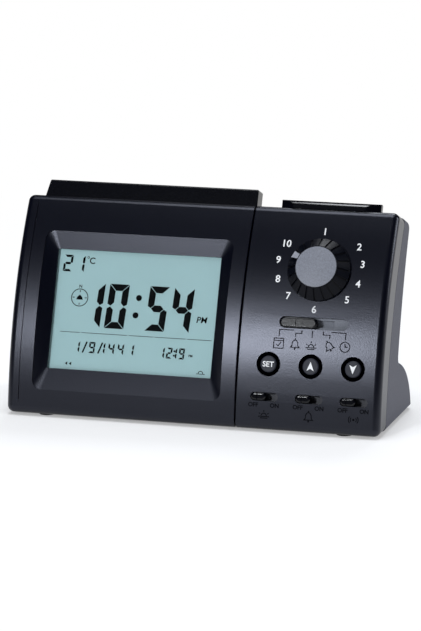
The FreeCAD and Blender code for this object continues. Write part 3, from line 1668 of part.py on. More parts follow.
def build_speaker():
    """Basket on the rear wall's rim, paper cone inside it, magnet in front."""
    base = speaker_place(0.2 - SPEAKER_WALL)
    edge = S.speaker_radius
    throat = S.magnet_radius
    deep = S.speaker_height - S.magnet_height
    turned_piece("speaker_frame", base, [
        (edge - 1.6, 0.0),
        (edge, 0.0),
        (edge, S.speaker_flange),
        (edge - 2.0, S.speaker_flange),
        (throat, deep),
        (4.0, deep),
        (4.0, deep - 1.0),
        (throat - 0.6, deep - 1.0),
        (edge - 2.8, 0.6),
        (edge - 1.6, 0.6),
    ])
    turned_piece("speaker_cone", base, [
        (0.0, 0.9),
        (3.4, 0.5),
        (edge - 3.4, 0.1),
        (edge - 1.8, 0.1),
        (edge - 1.8, 0.5),
        (edge - 3.2, 0.5),
        (3.4, 1.9),
        (3.4, deep - 0.2),
        (2.6, deep - 0.2),
        (2.6, 1.6),
        (0.0, 1.6),
    ])
    turned_piece("speaker_magnet", speaker_place(0.25 + deep - SPEAKER_WALL), [
        (0.0, 0.0),
        (throat, 0.0),
        (throat, S.magnet_height),
        (0.0, S.magnet_height),
    ])


# Fasteners and feet

def screw(name, place, radius, length, head_radius, head_height):
    """A pan-head screw that points out of its place, with its head behind it."""
    body = new_body(name)
    profile = new_sketch(body, f"{name}_profile", "XZ_Plane")
    draw_outline(profile, [
        (0.0, -1 * head_height),
        (head_radius * 0.7, -1 * head_height),
        (head_radius, -0.4 * head_height),
        (head_radius, 0.0),
        (radius, 0.0),
        (radius, length - radius),
        (0.0, length),
    ])
    turned = body.newObject("PartDesign::Revolution", f"{name}_turned")
    turned.Profile = profile
    turned.ReferenceAxis = (profile, ["V_Axis"])
    turned.Angle = 360
    doc.recompute()
    set_place(body, place)
    return body


def build_screws():
    screws = []
    for number, (side, up) in enumerate(CASE_SCREWS, start=1):
        depth = REAR_FACE + sagitta(up, S.front_radius - REAR_FACE) + SCREW_SEAT
        place = display_place(side * S.screw_x - S.display_x, up, -1 * depth)
        screws.append(screw(f"case_screw_{number}", place, S.screw_radius,
                            SCREW_SEAT + S.shut_gap + SCREW_BITE - 0.6,
                            S.screw_head_radius, S.screw_head_height))
    keep(group("housing_screws", screws), "housing_screws")

    seats = []
    for x, up in MAIN_POSTS:
        seats.append(display_place(x, up, -1 * (BOARD_DEPTH + S.board_thickness)))
    for x, up in KEY_POSTS:
        seats.append(plane_place(S.key_board_s, S.control_x + x, up,
                                 -1 * (S.key_board_depth + S.board_thickness)))
    for x, up in SELECTOR_POSTS:
        seats.append(plane_place(S.knob_s, S.control_x + x, up,
                                 -1 * (SELECTOR_DEPTH + S.board_thickness)))
    for x, back in ((BAR_X, BAR_BACK), (S.key_x, KEY_BACK)):
        for side in (-1, 1):
            seats.append(top_place(x + side * KEY_POST_OFF, back,
                                   -1 * (TOP_BOARD_DEPTH + S.board_thickness)))
    screws = [screw(f"board_screw_{number}", place, S.board_screw_radius,
                    S.board_thickness + BOARD_SCREW_BITE - 0.4,
                    S.board_head_radius, S.board_head_height)
              for number, place in enumerate(seats, start=1)]
    keep(group("board_screws", screws), "board_screws")


def build_feet():
    feet = []
    for back in (S.rubber_front_y, S.rubber_back_y):
        for side in (-1, 1):
            number = len(feet) + 1
            feet.append(cylinder(f"rubber_foot_{number}", S.rubber_radius,
                                 S.foot_lift + S.rubber_sink,
                                 Place(side * S.rubber_x, FRONT_Y + back, 0.0)))
    keep(group("rubber_feet", feet), "rubber_feet")


def write_pieces():
    """Checks every object of the document, then writes each piece."""
    doc.recompute()
    for thing in doc.Objects:
        for word in ("Invalid", "Error"):
            if word in thing.State:
                raise RuntimeError(f"{thing.Name} is {thing.State}")
    low = FreeCAD.Vector(1e9, 1e9, 1e9)
    high = FreeCAD.Vector(-1e9, -1e9, -1e9)
    os.makedirs("parts", exist_ok=True)
    for name, piece in PIECES.items():
        shape = piece.Shape
        if shape.isNull() or not shape.isValid() or not shape.Solids:
            raise RuntimeError(f"{name} has no sound shape")
        shape.exportStep(f"parts/{name}.step")
        bounds = shape.BoundBox
        for axis in ("x", "y", "z"):
            least = getattr(bounds, f"{axis.upper()}Min")
            most = getattr(bounds, f"{axis.upper()}Max")
            setattr(low, axis, min(getattr(low, axis), least))
            setattr(high, axis, max(getattr(high, axis), most))
        print(f"{name}: {len(shape.Solids)} solids, {shape.Volume:.1f} mm3")
    print(f"overall from {low} to {high}")
    print(f"hinge pin at y {hinge_point()[0].number:.3f}, z {hinge_point()[1].number:.3f}")


build_display_bezel()
build_control_panel()
build_rear_housing()
build_battery_door()
build_display_stack()
build_boards()
build_board_components()
build_switches()
build_handles()
build_buttons()
build_selector()
build_top_keys()
build_batteries()
build_speaker()
build_screws()
build_feet()
write_pieces()
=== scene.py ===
"""Dresses the azan desk clock: finishes, printed marks, display signs, studio and camera."""
import logging
import math
from collections.abc import Callable, Sequence
from dataclasses import dataclass
from enum import Enum

import bmesh
import bpy
from mathutils import Matrix, Vector


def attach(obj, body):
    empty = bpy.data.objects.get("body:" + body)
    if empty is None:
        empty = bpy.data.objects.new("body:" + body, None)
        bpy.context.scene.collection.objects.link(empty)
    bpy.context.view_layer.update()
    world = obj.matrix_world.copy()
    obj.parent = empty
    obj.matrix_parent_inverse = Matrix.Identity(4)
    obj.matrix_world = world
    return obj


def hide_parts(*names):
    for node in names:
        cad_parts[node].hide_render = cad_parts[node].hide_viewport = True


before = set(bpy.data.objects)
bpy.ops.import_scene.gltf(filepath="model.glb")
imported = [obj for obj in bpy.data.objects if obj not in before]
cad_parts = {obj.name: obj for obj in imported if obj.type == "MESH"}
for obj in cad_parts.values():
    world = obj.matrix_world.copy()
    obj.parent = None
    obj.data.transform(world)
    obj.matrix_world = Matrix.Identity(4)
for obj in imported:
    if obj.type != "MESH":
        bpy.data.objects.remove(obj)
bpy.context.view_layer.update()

MM = 0.001
LOG = logging.getLogger("azan_clock")

Point = tuple[float, float]
Placer = Callable[[float, float, float], Vector]
Color = tuple[float, float, float, float]


@dataclass(frozen=True)
class ClockForm:
    """The clock's front and top, with the CAD model's sizes in millimetres.

    The front is a cylinder about X: s runs up the curve from its foot, out stands off it.
    """

    radius: float = 191.2
    lean: float = 6.0
    front_y: float = -28.915
    foot: float = 0.8
    display_s: float = 46.8
    display_x: float = -28.95
    control_x: float = 51.7
    knob_s: float = 69.1
    button_s: float = 28.3
    button_pitch: float = 18.29
    slide_pitch: float = 19.39

    def angle(self, s: float) -> float:
        """Lean of the front at s, in radians."""
        return math.radians(self.lean) + s / self.radius

    def face(self, x: float, s: float, out: float = 0.0) -> Vector:
        """Point on the curved front.

        Args:
            x: Distance to the right of the clock's middle.
            s: Distance up the curve.
            out: Distance off the surface.

        Returns:
            The point in metres.
        """
        turn = self.angle(s)
        start = math.radians(self.lean)
        reach = self.radius + out
        y = self.front_y + self.radius * math.cos(start) - reach * math.cos(turn)
        z = self.foot - self.radius * math.sin(start) + reach * math.sin(turn)
        return Vector((x, y, z)) * MM

    def normal(self, s: float) -> Vector:
        """Direction that points out of the front at s."""
        turn = self.angle(s)
        return Vector((0.0, -math.cos(turn), math.sin(turn)))

    def upward(self, s: float) -> Vector:
        """Direction that runs up the front at s."""
        turn = self.angle(s)
        return Vector((0.0, math.sin(turn), math.cos(turn)))

    def flat(self, s: float, x: float, up: float, out: float) -> Vector:
        """Point on the plane that touches the front at s, in metres.

        Args:
            s: Where the plane touches.
            x: Distance to the right of the clock's middle.
            up: Distance up the plane from there.
            out: Distance out of the plane.

        Returns:
            The point in metres.
        """
        base = self.face(x, s)
        return base + (self.upward(s) * up + self.normal(s) * out) * MM

    def display(self, x: float, up: float, out: float) -> Vector:
        """Point by the display, measured from the middle of its window."""
        return self.flat(self.display_s, self.display_x + x, up, out)


FORM = ClockForm()


def srgb(code: str) -> Color:
    """Linear colour of an sRGB hex code such as "7f8c8d"."""
    channels = []
    for start in (0, 2, 4):
        value = int(code[start:start + 2], 16) / 255.0
        linear = value / 12.92 if value <= 0.04045 else ((value + 0.055) / 1.055) ** 2.4
        channels.append(linear)
    return channels[0], channels[1], channels[2], 1.0


def add_node(tree: bpy.types.NodeTree, kind: str, settings: dict[str, object] | None = None,
             inputs: dict[str | int, object] | None = None) -> bpy.types.Node:
    """Adds a node with its settings, and sets or links its inputs.

    Args:
        tree: The node tree that gets the node.
        kind: The node's type name.
        settings: Properties of the node itself.
        inputs: Values or output sockets for its inputs, by name or index.

    Returns:
        The new node.
    """
    node = tree.nodes.new(kind)
    for name, value in (settings or {}).items():
        setattr(node, name, value)
    for key, value in (inputs or {}).items():
        if isinstance(value, bpy.types.NodeSocket):
            tree.links.new(value, node.inputs[key])
        else:
            node.inputs[key].default_value = value
    return node


def grain_scale(size_mm: float) -> float:
    """Scale of a noise texture whose grains are that many millimetres across."""
    return 1.0 / (size_mm * MM)


@dataclass(frozen=True)
class Finish:
    """A surface that has a name; each kind of finish knows how to make its nodes."""

    name: str

    def material(self) -> bpy.types.Material:
        """The finish as a material, made once."""
        made = bpy.data.materials.get(self.name)
        if made is None:
            made = bpy.data.materials.new(self.name)
            made.use_nodes = True
            made.node_tree.nodes.clear()
            surface = self.surface(made.node_tree)
            add_node(made.node_tree, "ShaderNodeOutputMaterial", inputs={"Surface": surface})
        return made

    def surface(self, tree: bpy.types.NodeTree) -> bpy.types.NodeSocket:
        """The shader that the finish shows."""
        raise NotImplementedError

    def dress(self, piece: bpy.types.Object) -> None:
        """Gives the finish to every material slot of a piece."""
        made = self.material()
        if not piece.data.materials:
            piece.data.materials.append(made)
        for slot in piece.material_slots:
            slot.material = made


@dataclass(frozen=True)
class Moulded(Finish):
    """Moulded or printed matter: a colour with a little mottling under a fine relief."""

    color: str = "202020"
    shade: str = "181818"
    roughness: float = 0.4
    rougher: float = 0.08
    specular: float = 0.5
    metallic: float = 0.0
    grain_mm: float = 0.5
    relief: float = 0.15
    mottle_mm: float = 9.0
    sheen: str = "ffffff"

    def surface(self, tree: bpy.types.NodeTree) -> bpy.types.NodeSocket:
        """The shader that the finish shows."""
        place = add_node(tree, "ShaderNodeTexCoord").outputs["Object"]
        cloud = add_node(tree, "ShaderNodeTexNoise", inputs={
            "Vector": place, "Scale": grain_scale(self.mottle_mm), "Detail": 3.0})
        grain = add_node(tree, "ShaderNodeTexNoise", inputs={
            "Vector": place, "Scale": grain_scale(self.grain_mm), "Detail": 2.0})
        tint = add_node(tree, "ShaderNodeMix", {"data_type": "RGBA"}, {
            0: cloud.outputs["Fac"], 6: srgb(self.color), 7: srgb(self.shade)})
        rough = add_node(tree, "ShaderNodeMapRange", inputs={
            "Value": grain.outputs["Fac"], "To Min": self.roughness - self.rougher,
            "To Max": self.roughness + self.rougher})
        bump = add_node(tree, "ShaderNodeBump", inputs={
            "Height": grain.outputs["Fac"], "Strength": self.relief,
            "Distance": self.grain_mm * MM * 0.4})
        shader = add_node(tree, "ShaderNodeBsdfPrincipled", inputs={
            "Base Color": tint.outputs[2], "Roughness": rough.outputs["Result"],
            "Specular IOR Level": self.specular, "Specular Tint": srgb(self.sheen),
            "Metallic": self.metallic, "Normal": bump.outputs["Normal"]})
        return shader.outputs["BSDF"]


@dataclass(frozen=True)
class KnobAbs(Finish):
    """Satin black ABS knob with a grey grained cap; the grain flecks the cap's grey."""

    cap: str = "7d818c"
    skirt: str = "05070f"
    cap_radius_mm: float = 8.75
    cap_height_mm: float = 5.85
    edge_mm: float = 0.1
    cap_roughness: float = 0.5
    skirt_roughness: float = 0.34
    cap_specular: float = 0.5
    skirt_specular: float = 0.12
    fleck_mm: float = 0.6

    def surface(self, tree: bpy.types.NodeTree) -> bpy.types.NodeSocket:
        """The shader that the finish shows."""
        place = add_node(tree, "ShaderNodeTexCoord").outputs["Object"]
        centre = FORM.face(FORM.control_x, FORM.knob_s)
        # the mapping lays the knob's own axis along Z, so that its cap is a plain disc
        tilt = math.pi / 2 - FORM.angle(FORM.knob_s)
        moved = add_node(tree, "ShaderNodeMapping", {"vector_type": "TEXTURE"}, {
            "Vector": place, "Location": centre, "Rotation": (tilt, 0.0, 0.0)})
        parts = add_node(tree, "ShaderNodeSeparateXYZ", inputs={0: moved.outputs[0]})
        flat = add_node(tree, "ShaderNodeCombineXYZ", inputs={
            0: parts.outputs[0], 1: parts.outputs[1]})
        reach = add_node(tree, "ShaderNodeVectorMath", {"operation": "LENGTH"},
                         {0: flat.outputs[0]})
        inside = add_node(tree, "ShaderNodeMapRange", inputs={
            "Value": reach.outputs["Value"],
            "From Min": (self.cap_radius_mm + self.edge_mm) * MM,
            "From Max": (self.cap_radius_mm - self.edge_mm) * MM})
        above = add_node(tree, "ShaderNodeMath", {"operation": "GREATER_THAN"}, {
            0: parts.outputs[2], 1: self.cap_height_mm * MM})
        mask = add_node(tree, "ShaderNodeMath", {"operation": "MULTIPLY"}, {
            0: inside.outputs["Result"], 1: above.outputs[0]})
        grain = add_node(tree, "ShaderNodeTexNoise", inputs={
            "Vector": place, "Scale": grain_scale(self.fleck_mm), "Detail": 3.0})
        fleck = add_node(tree, "ShaderNodeMapRange", inputs={
            "Value": grain.outputs["Fac"], "From Min": 0.3, "From Max": 0.7,
            "To Min": 0.72, "To Max": 1.0})
        share = add_node(tree, "ShaderNodeMath", {"operation": "MULTIPLY"}, {
            0: mask.outputs[0], 1: fleck.outputs["Result"]})
        tint = add_node(tree, "ShaderNodeMix", {"data_type": "RGBA"}, {
            0: share.outputs[0], 6: srgb(self.skirt), 7: srgb(self.cap)})
        rough = add_node(tree, "ShaderNodeMapRange", inputs={
            "Value": mask.outputs[0], "To Min": self.skirt_roughness,
            "To Max": self.cap_roughness})
        gloss = add_node(tree, "ShaderNodeMapRange", inputs={
            "Value": mask.outputs[0], "To Min": self.skirt_specular,
            "To Max": self.cap_specular})
        relief = add_node(tree, "ShaderNodeMath", {"operation": "MULTIPLY"}, {
            0: mask.outputs[0], 1: grain.outputs["Fac"]})
        bump = add_node(tree, "ShaderNodeBump", inputs={
            "Height": relief.outputs[0], "Strength": 0.35, "Distance": 0.2 * MM})
        shader = add_node(tree, "ShaderNodeBsdfPrincipled", inputs={
            "Base Color": tint.outputs[2], "Roughness": rough.outputs["Result"],
            "Specular IOR Level": gloss.outputs["Result"], "Normal": bump.outputs["Normal"]})
        return shader.outputs["BSDF"]


@dataclass(frozen=True)
class ButtonAbs(Finish):
    """Satin dark grey button cap; the flange below it lies in shadow, so it is painted near black
    with no gloss as painted shade.
    """

    cap: str = "1b1e2a"
    # painted shade: a near-black colour that stands for the shadow on the flange down in the gap
    flange: str = "010103"
    flange_out_mm: float = -0.8
    blend_mm: float = 0.2
    roughness: float = 0.5
    cap_specular: float = 0.35
    grain_mm: float = 0.5

    def surface(self, tree: bpy.types.NodeTree) -> bpy.types.NodeSocket:
        """The shader that the finish shows."""
        place = add_node(tree, "ShaderNodeTexCoord").outputs["Object"]
        centre = FORM.face(0.0, FORM.button_s)
        offset = add_node(tree, "ShaderNodeVectorMath", {"operation": "SUBTRACT"}, {
            0: place, 1: centre})
        out = add_node(tree, "ShaderNodeVectorMath", {"operation": "DOT_PRODUCT"}, {
            0: offset.outputs[0], 1: FORM.normal(FORM.button_s)})
        mask = add_node(tree, "ShaderNodeMapRange", inputs={
            "Value": out.outputs["Value"], "From Min": (self.flange_out_mm - self.blend_mm) * MM,
            "From Max": self.flange_out_mm * MM})
        grain = add_node(tree, "ShaderNodeTexNoise", inputs={
            "Vector": place, "Scale": grain_scale(self.grain_mm), "Detail": 2.0})
        # below the cap the colour turns to the painted shade, and the gloss falls to nothing
        tint = add_node(tree, "ShaderNodeMix", {"data_type": "RGBA"}, {
            0: mask.outputs["Result"], 6: srgb(self.flange), 7: srgb(self.cap)})
        gloss = add_node(tree, "ShaderNodeMath", {"operation": "MULTIPLY"}, {
            0: mask.outputs["Result"], 1: self.cap_specular})
        bump = add_node(tree, "ShaderNodeBump", inputs={
            "Height": grain.outputs["Fac"], "Strength": 0.2, "Distance": 0.15 * MM})
        shader = add_node(tree, "ShaderNodeBsdfPrincipled", inputs={
            "Base Color": tint.outputs[2], "Roughness": self.roughness,
            "Specular IOR Level": gloss.outputs[0], "Normal": bump.outputs["Normal"]})
        return shader.outputs["BSDF"]


@dataclass(frozen=True)
class ClearAcrylic(Finish):
    """Clear cast acrylic: light goes straight through, and a polished face mirrors a little."""

    tint: str = "fafdfd"
    haze: float = 0.02
    smear_mm: float = 14.0
    ior: float = 1.3

    def surface(self, tree: bpy.types.NodeTree) -> bpy.types.NodeSocket:
        """The shader that the finish shows."""
        place = add_node(tree, "ShaderNodeTexCoord").outputs["Object"]
        smear = add_node(tree, "ShaderNodeTexNoise", inputs={
            "Vector": place, "Scale": grain_scale(self.smear_mm), "Detail": 4.0})
        rough = add_node(tree, "ShaderNodeMapRange", inputs={
            "Value": smear.outputs["Fac"], "To Min": self.haze, "To Max": self.haze * 2.0})
        clear = add_node(tree, "ShaderNodeBsdfTransparent", inputs={"Color": srgb(self.tint)})
        gloss = add_node(tree, "ShaderNodeBsdfGlossy", inputs={
            "Roughness": rough.outputs["Result"]})
        mirror = add_node(tree, "ShaderNodeFresnel", inputs={"IOR": self.ior})
        both = add_node(tree, "ShaderNodeMixShader", inputs={
            0: mirror.outputs[0], 1: clear.outputs[0], 2: gloss.outputs[0]})
        return both.outputs[0]


@dataclass(frozen=True)
class LiquidCrystal(Finish):
    """Reflective liquid crystal glass: grey-green, even, with the polariser's soft sheen."""

    color: str = "c9e4e7"
    edge: str = "c3dee1"
    cloud_mm: float = 40.0
    roughness: float = 0.5
    specular: float = 0.2

    def surface(self, tree: bpy.types.NodeTree) -> bpy.types.NodeSocket:
        """The shader that the finish shows."""
        place = add_node(tree, "ShaderNodeTexCoord").outputs["Object"]
        cloud = add_node(tree, "ShaderNodeTexNoise", inputs={
            "Vector": place, "Scale": grain_scale(self.cloud_mm), "Detail": 1.0})
        tint = add_node(tree, "ShaderNodeMix", {"data_type": "RGBA"}, {
            0: cloud.outputs["Fac"], 6: srgb(self.color), 7: srgb(self.edge)})
        shader = add_node(tree, "ShaderNodeBsdfPrincipled", inputs={
            "Base Color": tint.outputs[2], "Roughness": self.roughness,
            "Specular IOR Level": self.specular})
        return shader.outputs["BSDF"]


class Finishes(Enum):
    """Every finish of the clock, each named for its material and how it was made."""

    # spark-eroded black ABS: dark, a soft broad bluish sheen, grain just visible
    FRONT = Moulded("grained_black_abs", color="03050f", shade="01020b", roughness=0.285,
                    rougher=0.02, specular=0.45, grain_mm=0.55, relief=0.12, sheen="eaeeff")
    # the rear moulding has a coarser, duller grain that looks a shade greyer
    REAR = Moulded("grained_charcoal_abs", color="2d3145", shade="282b3d", roughness=0.5,
                   rougher=0.06, grain_mm=0.7, relief=0.35)
    # polished black ABS of the keys and handles: deep black with sharp glints
    KEY = Moulded("polished_black_abs", color="030409", shade="05060b", roughness=0.15,
                  rougher=0.03, specular=0.3, grain_mm=0.6, relief=0.03)
    KNOB = KnobAbs("satin_knob_abs")
    BUTTON = ButtonAbs("satin_button_abs")
    LENS = ClearAcrylic("clear_cast_acrylic")
    LCD = LiquidCrystal("liquid_crystal_glass")
    # the dark crystal segments look like matt black ink under glass
    SEGMENTS = Moulded("dark_crystal_segments", color="020304", shade="050607", roughness=0.6,
                       rougher=0.05, specular=0.08, grain_mm=0.8, relief=0.02)
    # pad-printed white ink: slightly chalky, with a faint grain
    WHITE_INK = Moulded("white_pad_print", color="f2f3f4", shade="dfe1e4", roughness=0.6,
                        rougher=0.06, specular=0.3)
    # the same print in black, which shows only where the front is light
    BLACK_INK = Moulded("black_pad_print", color="010207", shade="020308", roughness=0.6,
                        rougher=0.06, specular=0.05, relief=0.1)
    # thin grey paint, half matt
    POINTER = Moulded("grey_pointer_paint", color="9a9da7", shade="8c8f99", roughness=0.5,
                      rougher=0.06, specular=0.4, relief=0.2)
    # soft black rubber: matt, with a dusty mottling
    RUBBER = Moulded("soft_black_rubber", color="15151a", shade="1e1e22", roughness=0.75,
                     specular=0.3, grain_mm=0.9, relief=0.3)
    # green solder mask over glass fibre: dark green, half glossy
    BOARD = Moulded("green_solder_mask", color="12492a", shade="0e3b22", roughness=0.35,
                    rougher=0.06, grain_mm=1.2, relief=0.2)
    # cast epoxy: black and half matt
    COMPONENT = Moulded("black_epoxy", color="101114", shade="18191c", roughness=0.45,
                        grain_mm=0.6)
    # moulded in white, smooth and half matt
    HOLDER = Moulded("white_moulded_abs", color="e1e1dc", shade="d6d6d0", roughness=0.45,
                     rougher=0.06, grain_mm=0.6, relief=0.1)
    # milky acrylic: near white and smooth
    GUIDE = Moulded("milky_acrylic", color="eef2ee", shade="e4e9e4", roughness=0.3, rougher=0.05,
                    grain_mm=1.0, relief=0.03)
    # the long slide switch has a cover of tinned sheet: pale, with a worn grainy surface
    TINNED = Moulded("tinned_switch_cover", color="8f939d", shade="6d717b", roughness=0.6,
                     rougher=0.12, specular=0.3, metallic=0.1, grain_mm=0.45, relief=0.6)
    # the three small ones have darker covers of blackened steel
    BLACKENED = Moulded("blackened_switch_cover", color="34363f", shade="26272f", roughness=0.5,
                        rougher=0.1, specular=0.4, metallic=0.1, grain_mm=0.45, relief=0.4)
    # nickel plating: bright and a little warm, with clear reflections
    NICKEL = Moulded("nickel_plated_spring", color="c9c6bd", shade="bcb9b0", roughness=0.25,
                     rougher=0.06, metallic=1.0, grain_mm=0.4, relief=0.05)
    # zinc plating: a greyer metal with softer reflections
    ZINC = Moulded("zinc_plated_steel", color="a8abb0", shade="979aa0", roughness=0.35,
                   metallic=1.0, grain_mm=0.4, relief=0.1)
    # pressed paper: black and matt, with a coarse relief
    PAPER = Moulded("black_pressed_paper", color="141416", shade="1b1b1e", roughness=0.85,
                    specular=0.2, grain_mm=0.8, relief=0.5)
    # sintered ferrite: dark grey and dull
    FERRITE = Moulded("sintered_ferrite", color="2a2a2c", shade="222224", roughness=0.6,
                      rougher=0.1, specular=0.4, relief=0.3)
    # printed steel can: smooth slate blue with an even gloss
    JACKET = Moulded("printed_cell_jacket", color="3c4a5c", shade="364353", roughness=0.3,
                     rougher=0.05, metallic=0.3, grain_mm=1.0, relief=0.03)


CAD_FINISHES: dict[Finishes, tuple[str, ...]] = {
    Finishes.FRONT: ("display_bezel", "control_panel"),
    Finishes.REAR: ("rear_housing", "battery_door"),
    Finishes.KEY: ("snooze_bar", "azan_key", "mode_slider", "prayer_slider", "alarm_slider",
                   "buzzer_slider"),
    Finishes.BUTTON: ("set_button", "up_button", "down_button"),
    Finishes.KNOB: ("selector_knob",),
    Finishes.LENS: ("display_lens",),
    Finishes.LCD: ("lcd_glass",),
    Finishes.RUBBER: ("rubber_feet", "zebra_strip"),
    Finishes.BOARD: ("main_circuit_board", "key_circuit_board", "selector_board",
                     "snooze_switch_board", "azan_switch_board"),
    Finishes.COMPONENT: ("board_components", "key_switches", "top_switches", "selector_switch"),
    Finishes.HOLDER: ("lcd_holder", "selector_shaft"),
    Finishes.GUIDE: ("light_guide",),
    Finishes.TINNED: ("mode_switch",),
    Finishes.BLACKENED: ("slide_switches",),
    Finishes.NICKEL: ("battery_contacts", "battery_spring"),
    Finishes.ZINC: ("housing_screws", "board_screws", "speaker_frame"),
    Finishes.PAPER: ("speaker_cone",),
    Finishes.FERRITE: ("speaker_magnet",),
    Finishes.JACKET: ("battery_cells",),
}


class Ink:
    """Thin marks on one surface: gathers outlines and words, then makes them one piece."""

    def __init__(self, place: Placer, thickness: float = 0.04) -> None:
        """Starts an empty piece.

        Args:
            place: Turns (x, y, height) in millimetres into a point in metres.
            thickness: Height of the marks in millimetres.
        """
        self.place = place
        self.thickness = thickness
        self.mesh = bmesh.new()

    def outline(self, points: Sequence[Point], x: float = 0.0, y: float = 0.0) -> None:
        """Adds a filled closed outline, moved by x and y."""
        top = [self.mesh.verts.new(self.place(px + x, py + y, self.thickness))
               for px, py in points]
        low = [self.mesh.verts.new(self.place(px + x, py + y, 0.0)) for px, py in points]
        faces = [self.mesh.faces.new(top), self.mesh.faces.new(list(reversed(low)))]
        for index, corner in enumerate(top):
            following = (index + 1) % len(top)
            faces.append(self.mesh.faces.new(
                (corner, low[index], low[following], top[following])))
        bmesh.ops.triangulate(self.mesh, faces=faces[:2], ngon_method="EAR_CLIP")

    def ribbon(self, points: Sequence[Point], width: float, closed: bool = False) -> None:
        """Adds a line of even width with mitred corners.

        Args:
            points: Middle of the line.
            width: Its width in millimetres.
            closed: Whether the last point joins the first.
        """
        count = len(points)
        sides: list[tuple[Point, Point]] = []
        for index, (x, y) in enumerate(points):
            before = points[index - 1] if closed or index else None
            after = points[(index + 1) % count] if closed or index < count - 1 else None
            ways = []
            for start, end in ((before, (x, y)), ((x, y), after)):
                if start is not None and end is not None:
                    ways.append(Vector((end[0] - start[0], end[1] - start[1])).normalized())
            way = sum(ways, Vector((0.0, 0.0))).normalized()
            across = Vector((-way.y, way.x))
            stretch = 1.0 / max(0.4, across.dot(Vector((-ways[0].y, ways[0].x))))
            step = across * (width / 2 * stretch)
            sides.append(((x + step.x, y + step.y), (x - step.x, y - step.y)))
        corners = [[[self.mesh.verts.new(self.place(px, py, height)) for px, py in pair]
                    for height in (self.thickness, 0.0)] for pair in sides]
        spans = count if closed else count - 1
        for index in range(spans):
            (left, right), (left_low, right_low) = corners[index]
            (left_on, right_on), (left_low_on, right_low_on) = corners[(index + 1) % count]
            self.mesh.faces.new((right, right_on, left_on, left))
            self.mesh.faces.new((left_low, left_low_on, right_low_on, right_low))
            self.mesh.faces.new((left, left_on, left_low_on, left_low))
            self.mesh.faces.new((right_low, right_low_on, right_on, right))
        if not closed:
            for (left, right), (left_low, right_low) in (corners[0], corners[-1]):
                self.mesh.faces.new((left, left_low, right_low, right))

    def arc(self, x: float, y: float, radius: float, width: float, start: float = 0.0,
            end: float = 360.0) -> None:
        """Adds a ring, or the part of one between two angles in degrees."""
        closed = end - start >= 360.0
        steps = max(4, int((end - start) / 12.0))
        angles = [math.radians(start + (end - start) * step / steps)
                  for step in range(steps if closed else steps + 1)]
        self.ribbon([(x + radius * math.cos(a), y + radius * math.sin(a)) for a in angles],
                    width, closed)

    def disc(self, x: float, y: float, radius: float, sides: int = 24) -> None:
        """Adds a filled circle."""
        self.outline([(radius * math.cos(math.tau * side / sides),
                       radius * math.sin(math.tau * side / sides)) for side in range(sides)],
                     x, y)

    def words(self, text: str, x: float, y: float, size: float, bold: float = 0.0,
              shear: float = 0.0) -> None:
        """Adds letters or digits centred on a point.

        Args:
            text: What is written.
            x: Middle of the word.
            y: Middle of its height.
            size: Height of its capitals in millimetres.
            bold: Extra thickness of each stroke in millimetres.
            shear: Lean to the right, as a share of the height.
        """
        curve = bpy.data.curves.new("word", "FONT")
        curve.body = text
        curve.size = size / 0.7
        curve.offset = bold
        curve.shear = shear
        curve.align_x = "CENTER"
        curve.extrude = self.thickness / 2
        curve.resolution_u = 4
        piece = bpy.data.objects.new("word", curve)
        bpy.context.scene.collection.objects.link(piece)
        graph = bpy.context.evaluated_depsgraph_get()
        mesh = bpy.data.meshes.new_from_object(piece.evaluated_get(graph))
        for vertex in mesh.vertices:
            px, py, pz = vertex.co
            vertex.co = self.place(px + x, py + y - size / 2, pz + self.thickness / 2)
        self.mesh.from_mesh(mesh)
        bpy.data.objects.remove(piece)
        bpy.data.curves.remove(curve)
        bpy.data.meshes.remove(mesh)

    def finish(self, name: str, look: Finishes, body: str) -> bpy.types.Object:
        """Makes the piece, dresses it and hangs it on its body.

        Args:
            name: Name of the piece.
            look: Its finish.
            body: The body that carries it.

        Returns:
            The new object.
        """
        bmesh.ops.remove_doubles(self.mesh, verts=self.mesh.verts, dist=1e-7)
        bmesh.ops.recalc_face_normals(self.mesh, faces=self.mesh.faces)
        return make_piece(name, self.mesh, look, body)


def make_piece(name: str, mesh: bmesh.types.BMesh, look: Finishes, body: str) -> bpy.types.Object:
    """Turns a bmesh into a dressed object that rides on a body.

    Args:
        name: Name of the piece.
        mesh: Its shape, in metres and in place; it is freed.
        look: Its finish.
        body: The body that carries it.

    Returns:
        The new object.
    """
    data = bpy.data.meshes.new(name)
    mesh.to_mesh(data)
    mesh.free()
    piece = bpy.data.objects.new(name, data)
    bpy.context.scene.collection.objects.link(piece)
    look.value.dress(piece)
    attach(piece, body)
    LOG.info("%s: %d faces on %s", name, len(data.polygons), body)
    return piece


@dataclass(frozen=True)
class SignRow:
    """A line of digits: each sign with its left side, then the foot and the digits' sizes."""

    signs: tuple[tuple[str, float], ...]
    up: float
    width: float
    height: float
    stroke: float


